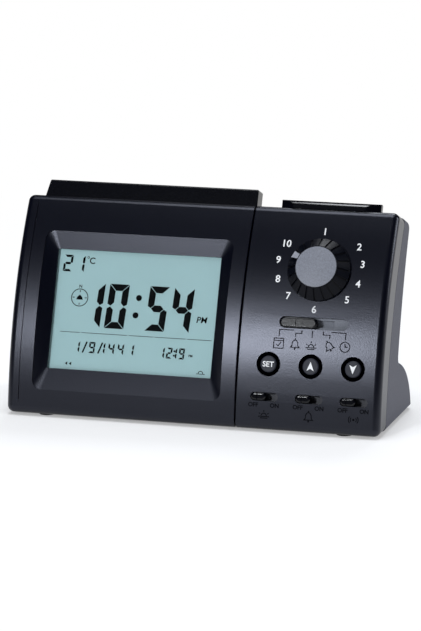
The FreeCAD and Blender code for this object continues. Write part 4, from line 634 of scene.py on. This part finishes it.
@dataclass
class Display:
    """Dark signs of the liquid crystal, just in front of its glass."""

    depth: float = -6.49
    thickness: float = 0.05
    shift: float = 0.65
    slant: float = 0.06
    gap: float = 0.17

    SEGMENTS = {
        "0": "abcdef", "1": "bc", "2": "abged", "3": "abgcd", "4": "fgbc",
        "5": "afgcd", "6": "afgedc", "7": "abc", "8": "abcdefg", "9": "abcdfg",
    }

    TIME = SignRow((("1", -24.9), ("0", -14.1), ("5", 4.0), ("4", 15.0)), -7.1, 8.8, 19.2, 2.85)
    SMALL_ROWS = (
        SignRow((("2", -35.1), ("1", -29.6)), 16.4, 4.0, 7.2, 1.0),
        SignRow((("1", -26.9), ("/", -22.6), ("9", -20.0), ("/", -15.6), ("1", -15.5),
                 ("4", -11.3), ("4", -7.1), ("1", -2.6)), -18.2, 2.7, 4.8, 0.74),
        SignRow((("1", 11.4), ("2", 14.8), (":", 18.2), ("1", 16.9), ("9", 20.3)),
                -18.4, 2.5, 4.7, 0.74),
    )
    TIME_DOTS = ((0.41, 6.7), (-0.41, -0.82))
    DOT_RADIUS = 1.3
    RULE_PARTS = ((-33.5, -24.6), (-23.9, -3.2), (-2.5, 8.4), (9.1, 22.8), (23.5, 34.3))
    RULE_UP = -9.65
    RULE_WIDTH = 0.22
    DASH_SHARE = 0.62
    COLON_SHARES = (0.3, 0.7)

    def place(self, x: float, up: float, height: float) -> Vector:
        """Point over the glass; the signs' middle is a little to the right of the window's."""
        return FORM.display(x + self.shift, up, self.depth + height)

    def digit(self, ink: Ink, sign: str, x: float, up: float, width: float, height: float,
              stroke: float) -> None:
        """Draws one seven-segment digit with its lower left corner at x and up.

        Args:
            ink: The piece that gets the segments.
            sign: The digit.
            x: Left side of the digit's foot.
            up: Its foot.
            width: Its width.
            height: Its height.
            stroke: Thickness of a segment.
        """
        gap = min(self.gap, stroke * 0.12)
        middle = height / 2
        half = stroke / 2
        over = [(gap, height), (width - gap, height), (width - stroke - gap, height - stroke),
                (stroke + gap, height - stroke)]
        side = [(0.0, height - gap), (stroke, height - stroke - gap),
                (stroke, middle + half + gap), (half, middle + gap), (0.0, middle + half * 0.7)]
        bar = [(half + gap, middle), (stroke + gap, middle + half),
               (width - stroke - gap, middle + half), (width - half - gap, middle),
               (width - stroke - gap, middle - half), (stroke + gap, middle - half)]
        shapes = {
            "a": over,
            "d": [(px, height - py) for px, py in over],
            "f": side,
            "e": [(px, height - py) for px, py in side],
            "b": [(width - px, py) for px, py in side],
            "c": [(width - px, height - py) for px, py in side],
            "g": bar,
        }
        for segment in self.SEGMENTS[sign]:
            points = [(px + py * self.slant, py) for px, py in shapes[segment]]
            ink.outline(points, x, up)

    def row(self, ink: Ink, line: SignRow) -> None:
        """Draws digits, colons and strokes along a line; a "1" stands at its right side."""
        for sign, x in line.signs:
            if sign == ":":
                for share in self.COLON_SHARES:
                    rise = line.height * share
                    ink.disc(x + rise * self.slant, line.up + rise, line.stroke * 0.55)
            elif sign == "/":
                ink.ribbon([(x, line.up), (x + line.width * self.DASH_SHARE,
                                           line.up + line.height)], line.stroke * 0.9)
            else:
                self.digit(ink, sign, x, line.up, line.width, line.height, line.stroke)

    def build(self) -> None:
        """Makes every sign of the display."""
        ink = Ink(self.place, self.thickness)
        self.row(ink, self.TIME)
        for x, up in self.TIME_DOTS:
            ink.disc(x, up, self.DOT_RADIUS)
        for line in self.SMALL_ROWS:
            self.row(ink, line)
        ink.words("C", -22.0, 21.6, 2.7, 0.05)
        ink.arc(-23.9, 22.9, 0.42, 0.22)
        ink.words("PM", 29.1, -1.1, 2.6, 0.04, 0.15)
        ink.words("PM", 25.7, -16.7, 1.0, 0.03)
        for start, end in self.RULE_PARTS:
            ink.ribbon([(start, self.RULE_UP), (end, self.RULE_UP)], self.RULE_WIDTH)
        self.compass(ink, -26.2, 5.4, 3.7)
        self.tide_marks(ink)
        ink.finish("display_signs", Finishes.SEGMENTS, "case")

    def compass(self, ink: Ink, x: float, up: float, radius: float) -> None:
        """Draws a ring with four ticks, a needle and its north mark."""
        ink.arc(x, up, radius, 0.34)
        for angle in (0.0, 90.0, 180.0, 270.0):
            way = Vector((math.cos(math.radians(angle)), math.sin(math.radians(angle))))
            ink.ribbon([(x + way.x * radius * 0.62, up + way.y * radius * 0.62),
                        (x + way.x * radius * 0.86, up + way.y * radius * 0.86)], 0.34)
        ink.outline([(-1.5, -0.9), (1.5, -0.9), (1.1, 0.2), (0.0, 1.3), (-1.1, 0.2)], x, up)
        ink.words("N", x, up + 4.9, 1.3, 0.04)

    def tide_marks(self, ink: Ink) -> None:
        """Draws the small marks in the two lower corners: two darts and half a ring on a line."""
        for x in (-30.0, -28.2):
            ink.outline([(0.0, 0.0), (1.1, 0.75), (1.1, -0.75)], x, -23.2)
        ink.arc(30.8, -23.9, 1.0, 0.3, 0.0, 180.0)
        ink.ribbon([(28.9, -24.1), (32.7, -24.1)], 0.28)


@dataclass
class PanelPrint:
    """Marks printed on the curved front: dial numbers, switch words and pictograms."""

    line: float = 0.38
    dial_size: float = 3.0

    # places of the ten dial numbers, clockwise from the top, as (x, s)
    DIAL = ((52.0, 86.3), (67.6, 80.3), (70.0, 72.8), (69.0, 64.3), (65.0, 57.3),
            (51.2, 52.4), (39.4, 57.6), (34.2, 64.6), (33.4, 72.9), (36.0, 80.2))

    @staticmethod
    def place(x: float, s: float, height: float) -> Vector:
        """Point over the front's curve."""
        return FORM.face(x, s, height + 0.005)

    def build(self) -> None:
        """Makes the white and the black print."""
        white = Ink(self.place)
        for number, (x, s) in enumerate(self.DIAL, start=1):
            white.words(str(number), x, s, self.dial_size, 0.06)
        white.finish("dial_numbers", Finishes.WHITE_INK, "case")

        black = Ink(self.place)
        self.leaders(black)
        icon_s = 37.3
        self.day_page(black, 37.2, icon_s)
        self.bell(black, 44.3, icon_s)
        self.sunrise(black, 51.3, icon_s)
        self.bell(black, 59.1, icon_s, 28.0)
        self.clock(black, 65.9, icon_s)
        for middle, draw in zip((-1, 0, 1), (self.sunrise, self.bell, self.sound)):
            x = FORM.control_x + middle * FORM.slide_pitch
            black.words("OFF", x - 4.6, 11.0, 1.75, 0.07)
            black.words("ON", x + 4.7, 11.0, 1.75, 0.07)
            draw(black, x + 0.2, 7.3)
        black.finish("switch_marks", Finishes.BLACK_INK, "case")

    def leaders(self, ink: Ink) -> None:
        """Draws the five lines from the slot's places to their pictograms."""
        high = 43.1
        low = 40.3
        ink.ribbon([(43.3, high), (37.2, high), (37.2, low)], self.line)
        ink.ribbon([(46.9, high + 0.2), (46.9, 41.9), (44.3, 41.9), (44.3, low)], self.line)
        ink.ribbon([(51.5, high + 0.2), (51.5, low)], self.line)
        ink.ribbon([(56.2, high + 0.2), (56.2, 41.9), (59.1, 41.9), (59.1, low)], self.line)
        ink.ribbon([(59.8, high), (65.9, high), (65.9, low)], self.line)

    def day_page(self, ink: Ink, x: float, s: float) -> None:
        """Draws a calendar page with a heading and a tick."""
        half = 2.1
        ink.ribbon([(x - half, s - half), (x + half, s - half), (x + half, s + half),
                    (x - half, s + half)], self.line, closed=True)
        ink.ribbon([(x - half + 0.2, s + 1.1), (x + half - 0.2, s + 1.1)], self.line)
        ink.ribbon([(x - 1.0, s - 0.4), (x - 0.2, s - 1.2), (x + 1.1, s + 0.5)], self.line)

    def bell(self, ink: Ink, x: float, s: float, turn: float = 0.0) -> None:
        """Draws a small bell, turned by some degrees."""
        swing = math.radians(turn)

        def spot(px: float, py: float) -> Point:
            """Point of the bell after its turn."""
            return (x + px * math.cos(swing) - py * math.sin(swing),
                    s + px * math.sin(swing) + py * math.cos(swing))

        shell = [spot(px, py) for px, py in (
            (-1.9, -1.4), (-1.3, -0.7), (-1.2, 0.6), (-0.7, 1.5), (0.0, 1.8), (0.7, 1.5),
            (1.2, 0.6), (1.3, -0.7), (1.9, -1.4))]
        ink.ribbon(shell, self.line, closed=True)
        clapper = spot(0.0, -2.0)
        ink.disc(*clapper, 0.42, 12)
        knob = spot(0.0, 2.25)
        ink.disc(*knob, 0.3, 12)

    def sunrise(self, ink: Ink, x: float, s: float) -> None:
        """Draws half a sun over two lines, with rays."""
        ink.arc(x, s - 0.9, 1.15, self.line, 0.0, 180.0)
        ink.ribbon([(x - 2.4, s - 1.15), (x + 2.4, s - 1.15)], self.line)
        ink.ribbon([(x - 1.6, s - 1.8), (x + 1.6, s - 1.8)], self.line)
        for angle in (30.0, 90.0, 150.0):
            way = Vector((math.cos(math.radians(angle)), math.sin(math.radians(angle))))
            ink.ribbon([(x + way.x * 1.7, s - 0.9 + way.y * 1.7),
                        (x + way.x * 2.5, s - 0.9 + way.y * 2.5)], self.line)

    def clock(self, ink: Ink, x: float, s: float) -> None:
        """Draws a clock face with two hands."""
        ink.arc(x, s, 2.1, self.line)
        ink.ribbon([(x, s + 1.5), (x, s), (x + 1.2, s)], self.line)

    def sound(self, ink: Ink, x: float, s: float) -> None:
        """Draws sound arcs on both sides of a dot."""
        ink.disc(x, s, 0.5, 16)
        for radius in (1.3, 2.1):
            ink.arc(x, s, radius, self.line, -40.0, 40.0)
            ink.arc(x, s, radius, self.line, 140.0, 220.0)


@dataclass
class ButtonMarks:
    """White marks on the three round buttons."""

    lift: float = 0.205

    def build(self) -> None:
        """Makes the word and the two arrow heads."""
        dart = [(0.0, 2.0), (1.55, -1.8), (0.0, -0.9), (-1.55, -1.8)]
        for name, step in (("set", -1), ("up", 0), ("down", 1)):
            x = FORM.control_x + step * FORM.button_pitch

            def place(px: float, py: float, height: float, middle: float = x) -> Vector:
                """Point over the button's flat cap."""
                return FORM.flat(FORM.button_s, middle + px, py, self.lift + height)

            ink = Ink(place)
            if name == "set":
                ink.words("SET", 0.0, 0.0, 2.2, 0.06)
            elif name == "up":
                ink.outline(dart)
            else:
                ink.outline([(px, -py) for px, py in dart])
            ink.finish(f"{name}_mark", Finishes.WHITE_INK, f"{name}_button")


@dataclass(frozen=True)
class ScrewPlace:
    """One screw of the CAD model: the middle of its head's top, the way out, and its sizes."""

    top: Vector
    way: Vector
    head_radius: float
    head_height: float
    shank_radius: float
    length: float

    def sizes(self) -> tuple[float, float, float, float]:
        """The sizes in the order of the node tree's inputs."""
        return self.head_radius, self.head_height, self.shank_radius, self.length


@dataclass
class CrossScrews:
    """Self-tapping screws with a cross recess, in place of the CAD model's plain ones.

    The slot's sizes are shares of the head's radius and height.
    """

    node: str
    name: str
    slot_width: float = 0.26
    slot_reach: float = 0.62
    slot_depth: float = 0.6

    SIZE_INPUTS = ("Head Radius", "Head Height", "Shank Radius", "Length")
    SIDES = 32
    AXIS_STEPS = 8
    RIM_SHARE = 0.06
    HEAD_SHARE = 0.9

    def islands(self) -> list[list[Vector]]:
        """Corners of each screw of the CAD node, in metres."""
        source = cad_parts[self.node]
        mesh = bmesh.new()
        mesh.from_mesh(source.data)
        mesh.transform(source.matrix_world)
        bmesh.ops.remove_doubles(mesh, verts=mesh.verts, dist=1e-6)
        left = set(mesh.verts)
        found = []
        for start in list(mesh.verts):
            if start not in left:
                continue
            left.discard(start)
            island = [start]
            for vertex in island:
                for edge in vertex.link_edges:
                    other = edge.other_vert(vertex)
                    if other in left:
                        left.discard(other)
                        island.append(other)
            found.append([vertex.co.copy() for vertex in island])
        mesh.free()
        return found

    @staticmethod
    def middle_of(corners: Sequence[Vector]) -> Vector:
        """Mean of some corners."""
        return sum(corners, Vector()) / len(corners)

    def axis(self, corners: Sequence[Vector]) -> tuple[Vector, Vector]:
        """Finds the line through a screw.

        Args:
            corners: Its corners in metres.

        Returns:
            The middle between its two end rims, and the direction from one to the other.
        """
        first = corners[0]
        far = max(corners, key=lambda corner: (corner - first).length)
        half = (far - first).length / 2
        near_end = [corner for corner in corners if (corner - far).length > half]
        far_end = [corner for corner in corners if corner not in near_end]
        ends = [self.middle_of(near_end), self.middle_of(far_end)]
        # the line through the two end rims soon settles on the screw's own
        for _ in range(self.AXIS_STEPS):
            way = (ends[1] - ends[0]).normalized()
            reach = [corner.dot(way) for corner in corners]
            low, high = min(reach), max(reach)
            margin = (high - low) * self.RIM_SHARE
            ends = [self.middle_of([corner for corner, along in zip(corners, reach)
                                    if abs(along - level) < margin]) for level in (low, high)]
        return (ends[0] + ends[1]) / 2, (ends[1] - ends[0]).normalized()

    def measure(self, corners: Sequence[Vector]) -> ScrewPlace:
        """Finds how one screw lies and how large it is, from its corners in metres."""
        middle, way = self.axis(corners)
        reach = [(corner - middle).dot(way) for corner in corners]
        out = [(corner - middle - way * along).length for corner, along in zip(corners, reach)]
        widest = max(out) * self.HEAD_SHARE
        head = [along for along, wide in zip(reach, out) if wide > widest]
        if sum(head) < 0.0:
            way = -way
            reach = [-along for along in reach]
            head = [-along for along in head]
        below = min(head) - 0.1 * MM
        shank = max(wide for along, wide in zip(reach, out) if along < below)
        return ScrewPlace(middle + way * max(reach), way, max(out), max(reach) - min(head), shank,
                          max(reach) - min(reach))

    def tree(self, look: bpy.types.Material) -> bpy.types.NodeTree:
        """The node tree that sets a screw on every point.

        Args:
            look: The screws' material.

        Returns:
            The tree; each point's attribute "axis" says which way its screw's head faces.
        """
        tree = bpy.data.node_groups.new(f"{self.name}_nodes", "GeometryNodeTree")
        sockets = tree.interface
        sockets.new_socket(name="Places", in_out="INPUT", socket_type="NodeSocketGeometry")
        for label in self.SIZE_INPUTS:
            sockets.new_socket(name=label, in_out="INPUT", socket_type="NodeSocketFloat")
        sockets.new_socket(name="Screws", in_out="OUTPUT", socket_type="NodeSocketGeometry")
        given = tree.nodes.new("NodeGroupInput").outputs

        def sums(operation: str, first: object, second: object) -> bpy.types.NodeSocket:
            """Result of a sum with two values or sockets."""
            return add_node(tree, "ShaderNodeMath", {"operation": operation},
                            {0: first, 1: second}).outputs[0]

        def rod(radius: object, depth: object, top: object) -> bpy.types.NodeSocket:
            """A round bar that hangs down from a height."""
            bar = add_node(tree, "GeometryNodeMeshCylinder", inputs={
                "Vertices": self.SIDES, "Radius": radius, "Depth": depth})
            middle = sums("SUBTRACT", top, sums("MULTIPLY", depth, 0.5))
            shift = add_node(tree, "ShaderNodeCombineXYZ", inputs={2: middle})
            moved = add_node(tree, "GeometryNodeTransform", inputs={
                "Geometry": bar.outputs["Mesh"], "Translation": shift.outputs[0]})
            return moved.outputs[0]

        head = rod(given["Head Radius"], given["Head Height"], 0.0)
        shank = rod(given["Shank Radius"],
                    sums("SUBTRACT", given["Length"], sums("MULTIPLY", given["Head Height"], 0.5)),
                    sums("MULTIPLY", given["Head Height"], -0.5))
        whole = add_node(tree, "GeometryNodeMeshBoolean",
                         {"operation": "UNION", "solver": "EXACT"})
        for part in (head, shank):
            tree.links.new(part, whole.inputs[1])
        long = sums("MULTIPLY", given["Head Radius"], 2.0 * self.slot_reach)
        wide = sums("MULTIPLY", given["Head Radius"], self.slot_width)
        deep = sums("MULTIPLY", given["Head Height"], 2.0 * self.slot_depth)
        cut = add_node(tree, "GeometryNodeMeshBoolean",
                       {"operation": "DIFFERENCE", "solver": "EXACT"},
                       {"Mesh 1": whole.outputs["Mesh"]})
        for first, second in ((long, wide), (wide, long)):
            size = add_node(tree, "ShaderNodeCombineXYZ", inputs={0: first, 1: second, 2: deep})
            block = add_node(tree, "GeometryNodeMeshCube", inputs={"Size": size.outputs[0]})
            tree.links.new(block.outputs["Mesh"], cut.inputs["Mesh 2"])
        axis = add_node(tree, "GeometryNodeInputNamedAttribute", {"data_type": "FLOAT_VECTOR"},
                        {"Name": "axis"})
        turn = add_node(tree, "FunctionNodeAlignRotationToVector", {"axis": "Z"},
                        {"Vector": axis.outputs["Attribute"]})
        spread = add_node(tree, "GeometryNodeInstanceOnPoints", inputs={
            "Points": given["Places"], "Instance": cut.outputs["Mesh"],
            "Rotation": turn.outputs[0]})
        real = add_node(tree, "GeometryNodeRealizeInstances", inputs={0: spread.outputs[0]})
        dressed = add_node(tree, "GeometryNodeSetMaterial", inputs={
            "Geometry": real.outputs[0], "Material": look})
        add_node(tree, "NodeGroupOutput", inputs={0: dressed.outputs[0]})
        return tree

    def build(self) -> None:
        """Makes the screws and lets them stand for the CAD node."""
        look = Finishes.ZINC.value.material()
        screws = [self.measure(corners) for corners in self.islands()]
        data = bpy.data.meshes.new(self.name)
        data.from_pydata([tuple(screw.top) for screw in screws], [], [])
        axes = data.attributes.new("axis", "FLOAT_VECTOR", "POINT")
        for index, screw in enumerate(screws):
            axes.data[index].vector = screw.way
        piece = bpy.data.objects.new(self.name, data)
        bpy.context.scene.collection.objects.link(piece)
        modifier = piece.modifiers.new("screws", "NODES")
        modifier.node_group = self.tree(look)
        sizes = {item.name: item.identifier for item in modifier.node_group.interface.items_tree
                 if item.in_out == "INPUT"}
        for label, value in zip(self.SIZE_INPUTS, screws[0].sizes()):
            modifier[sizes[label]] = value
        graph = bpy.context.evaluated_depsgraph_get()
        made = bpy.data.meshes.new_from_object(piece.evaluated_get(graph))
        piece.modifiers.clear()
        piece.data = made
        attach(piece, "case")
        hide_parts(self.node)
        for screw in screws:
            LOG.info("%s: %s mm", self.name,
                     ", ".join(f"{value / MM:.2f}" for value in screw.sizes()))


@dataclass
class KnobPointer:
    """Grey wedge painted on the knob's skirt, between two flutes."""

    angle: float = 153.0
    half_angle: float = 6.5
    inner: tuple[float, float] = (9.25, 5.6)
    outer: tuple[float, float] = (13.3, 1.65)
    lift: float = 0.06

    def build(self) -> None:
        """Makes the wedge."""

        def place(along: float, turn: float, height: float) -> Vector:
            """Point over the cone, from its rim outwards."""
            radius = self.inner[0] + (self.outer[0] - self.inner[0]) * along
            rise = self.inner[1] + (self.outer[1] - self.inner[1]) * along
            angle = math.radians(self.angle + turn)
            x = FORM.control_x + radius * math.cos(angle)
            up = radius * math.sin(angle)
            return FORM.flat(FORM.knob_s, x, up, rise + self.lift + height)

        ink = Ink(place)
        ink.outline([(0.0, -self.half_angle), (1.0, -self.half_angle), (1.0, self.half_angle),
                     (0.0, self.half_angle)])
        ink.finish("knob_pointer", Finishes.POINTER, "selector")


@dataclass(frozen=True)
class SoftBox:
    """A soft rectangular lamp: where it hangs and points, its size in metres and its watts."""

    name: str
    spot: tuple[float, float, float]
    aim: tuple[float, float, float]
    size: tuple[float, float]
    power: float


@dataclass
class Studio:
    """White floor, lamps and camera, at the photograph's angle."""

    azimuth: float = 17.067
    elevation: float = 12.903
    roll: float = -0.421
    distance: float = 1.450
    focal: float = 197.73
    fill: float = 0.26
    gloss_fill: float = 0.02
    gloss_blue: float = 1.5
    glow_near: float = 0.1
    glow_far: float = 0.5
    glow_least: float = 0.3
    floor_radius: float = 12.0
    lamp_color: tuple[float, float, float] = (0.93, 0.96, 1.0)
    target: tuple[float, float, float] = (0.00975, -0.028915, 0.04915)

    LAMPS = (
        # the low lamp's reflection makes the pale band across the middle of the curved front
        SoftBox("front_softbox", (-0.3255, -1.12, 0.445), (0.01, -0.02, 0.04), (0.1, 0.12), 5.4),
        SoftBox("top_softbox", (-0.03, -0.1, 1.0), (0.0, 0.0, 0.05), (0.6, 0.6), 6.0),
        SoftBox("rear_softbox", (0.0, 0.7, 0.9), (0.0, 0.0, 0.03), (0.5, 0.3), 4.0),
        SoftBox("side_softbox", (0.85, 0.25, 0.35), (0.08, 0.0, 0.04), (0.3, 0.4), 2.5),
    )

    def build(self) -> None:
        """Makes the floor, the lamps and the camera."""
        self.floor()
        self.world()
        for box in self.LAMPS:
            self.lamp(box)
        self.camera()

    def floor(self) -> None:
        """Makes a wide floor of white paper.

        Lamps light it and it keeps the clock's shadow. To the camera, in gloss and through clear
        matter it also glows, the more so the farther away, where no lamp reaches.
        """
        paper = bpy.data.materials.new("white_studio_paper")
        paper.use_nodes = True
        tree = paper.node_tree
        tree.nodes.clear()
        path = add_node(tree, "ShaderNodeLightPath")
        seen = path.outputs["Is Camera Ray"]
        for ray in ("Is Glossy Ray", "Is Transmission Ray"):
            seen = add_node(tree, "ShaderNodeMath", {"operation": "MAXIMUM"}, {
                0: seen, 1: path.outputs[ray]}).outputs[0]
        place = add_node(tree, "ShaderNodeTexCoord").outputs["Object"]
        reach = add_node(tree, "ShaderNodeVectorMath", {"operation": "LENGTH"}, {0: place})
        share = add_node(tree, "ShaderNodeMapRange", {"interpolation_type": "SMOOTHSTEP"}, {
            "Value": reach.outputs["Value"], "From Min": self.glow_near,
            "From Max": self.glow_far, "To Min": self.glow_least, "To Max": 1.0})
        weight = add_node(tree, "ShaderNodeMath", {"operation": "MULTIPLY"}, {
            0: seen, 1: share.outputs["Result"]})
        glow = add_node(tree, "ShaderNodeEmission", inputs={"Color": (1.0, 1.0, 1.0, 1.0)})
        matt = add_node(tree, "ShaderNodeBsdfDiffuse", inputs={"Color": srgb("f6f6f7")})
        both = add_node(tree, "ShaderNodeMixShader", inputs={
            0: weight.outputs[0], 1: matt.outputs[0], 2: glow.outputs[0]})
        add_node(tree, "ShaderNodeOutputMaterial", inputs={"Surface": both.outputs[0]})
        mesh = bmesh.new()
        bmesh.ops.create_circle(mesh, cap_ends=True, segments=64,
                               radius=self.floor_radius)
        data = bpy.data.meshes.new("studio_floor")
        mesh.to_mesh(data)
        mesh.free()
        piece = bpy.data.objects.new("studio_floor", data)
        bpy.context.scene.collection.objects.link(piece)
        data.materials.append(paper)

    def world(self) -> None:
        """Fills the room with a little even light, and shows as white past the floor's edge."""
        world = bpy.data.worlds.new("studio_world")
        world.use_nodes = True
        tree = world.node_tree
        tree.nodes.clear()
        path = add_node(tree, "ShaderNodeLightPath")
        seen = add_node(tree, "ShaderNodeMath", {"operation": "MAXIMUM"}, {
            0: path.outputs["Is Camera Ray"], 1: path.outputs["Is Transmission Ray"]})
        dim = add_node(tree, "ShaderNodeMix", {"data_type": "RGBA"}, {
            0: path.outputs["Is Glossy Ray"], 6: (self.fill, self.fill, self.fill, 1.0),
            7: (self.gloss_fill, self.gloss_fill, self.gloss_fill * self.gloss_blue, 1.0)})
        tint = add_node(tree, "ShaderNodeMix", {"data_type": "RGBA"}, {
            0: seen.outputs[0], 6: dim.outputs[2], 7: (1.0, 1.0, 1.0, 1.0)})
        sky = add_node(tree, "ShaderNodeBackground", inputs={"Color": tint.outputs[2]})
        add_node(tree, "ShaderNodeOutputWorld", inputs={"Surface": sky.outputs[0]})
        bpy.context.scene.world = world

    def lamp(self, box: SoftBox) -> None:
        """Hangs a lamp."""
        light = bpy.data.lights.new(box.name, "AREA")
        light.shape = "RECTANGLE"
        light.size, light.size_y = box.size
        light.energy = box.power
        light.color = self.lamp_color
        lamp = bpy.data.objects.new(box.name, light)
        lamp.location = box.spot
        way = Vector(box.aim) - Vector(box.spot)
        lamp.rotation_euler = way.to_track_quat("-Z", "Y").to_euler()
        lamp.visible_camera = False
        bpy.context.scene.collection.objects.link(lamp)

    def camera(self) -> None:
        """Puts the camera where the photograph was taken from."""
        turn = math.radians(self.azimuth)
        rise = math.radians(self.elevation)
        roll = math.radians(self.roll)
        back = Vector((math.sin(turn) * math.cos(rise), -math.cos(turn) * math.cos(rise),
                       math.sin(rise)))
        right = Vector((math.cos(turn), math.sin(turn), 0.0))
        upward = back.cross(right)
        level = right * math.cos(roll) + upward * math.sin(roll)
        plumb = upward * math.cos(roll) - right * math.sin(roll)
        data = bpy.data.cameras.new("photo_camera")
        data.sensor_fit = "VERTICAL"
        data.sensor_height = 36.0
        data.lens = self.focal
        camera = bpy.data.objects.new("photo_camera", data)
        spot = Vector(self.target) + back * self.distance
        axes = Matrix((level, plumb, back)).transposed().to_4x4()
        camera.matrix_world = Matrix.Translation(spot) @ axes
        bpy.context.scene.collection.objects.link(camera)
        bpy.context.scene.camera = camera


def dress_cad() -> None:
    """Gives every carried-over CAD node its finish."""
    for look, names in CAD_FINISHES.items():
        for name in names:
            look.value.dress(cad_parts[name])
            LOG.info("%s: %s", name, look.value.name)


def main() -> None:
    """Builds and reports every part of the scene in order."""
    logging.basicConfig(level=logging.INFO, format="%(name)s: %(message)s")
    dress_cad()
    for maker in (Display(), PanelPrint(), ButtonMarks(), KnobPointer(),
                  CrossScrews("housing_screws", "cross_case_screws"),
                  CrossScrews("board_screws", "cross_board_screws"), Studio()):
        LOG.info("building %s", type(maker).__name__)
        maker.build()
    bpy.context.scene.view_settings.view_transform = "Standard"


if __name__ == "__main__":
    main()
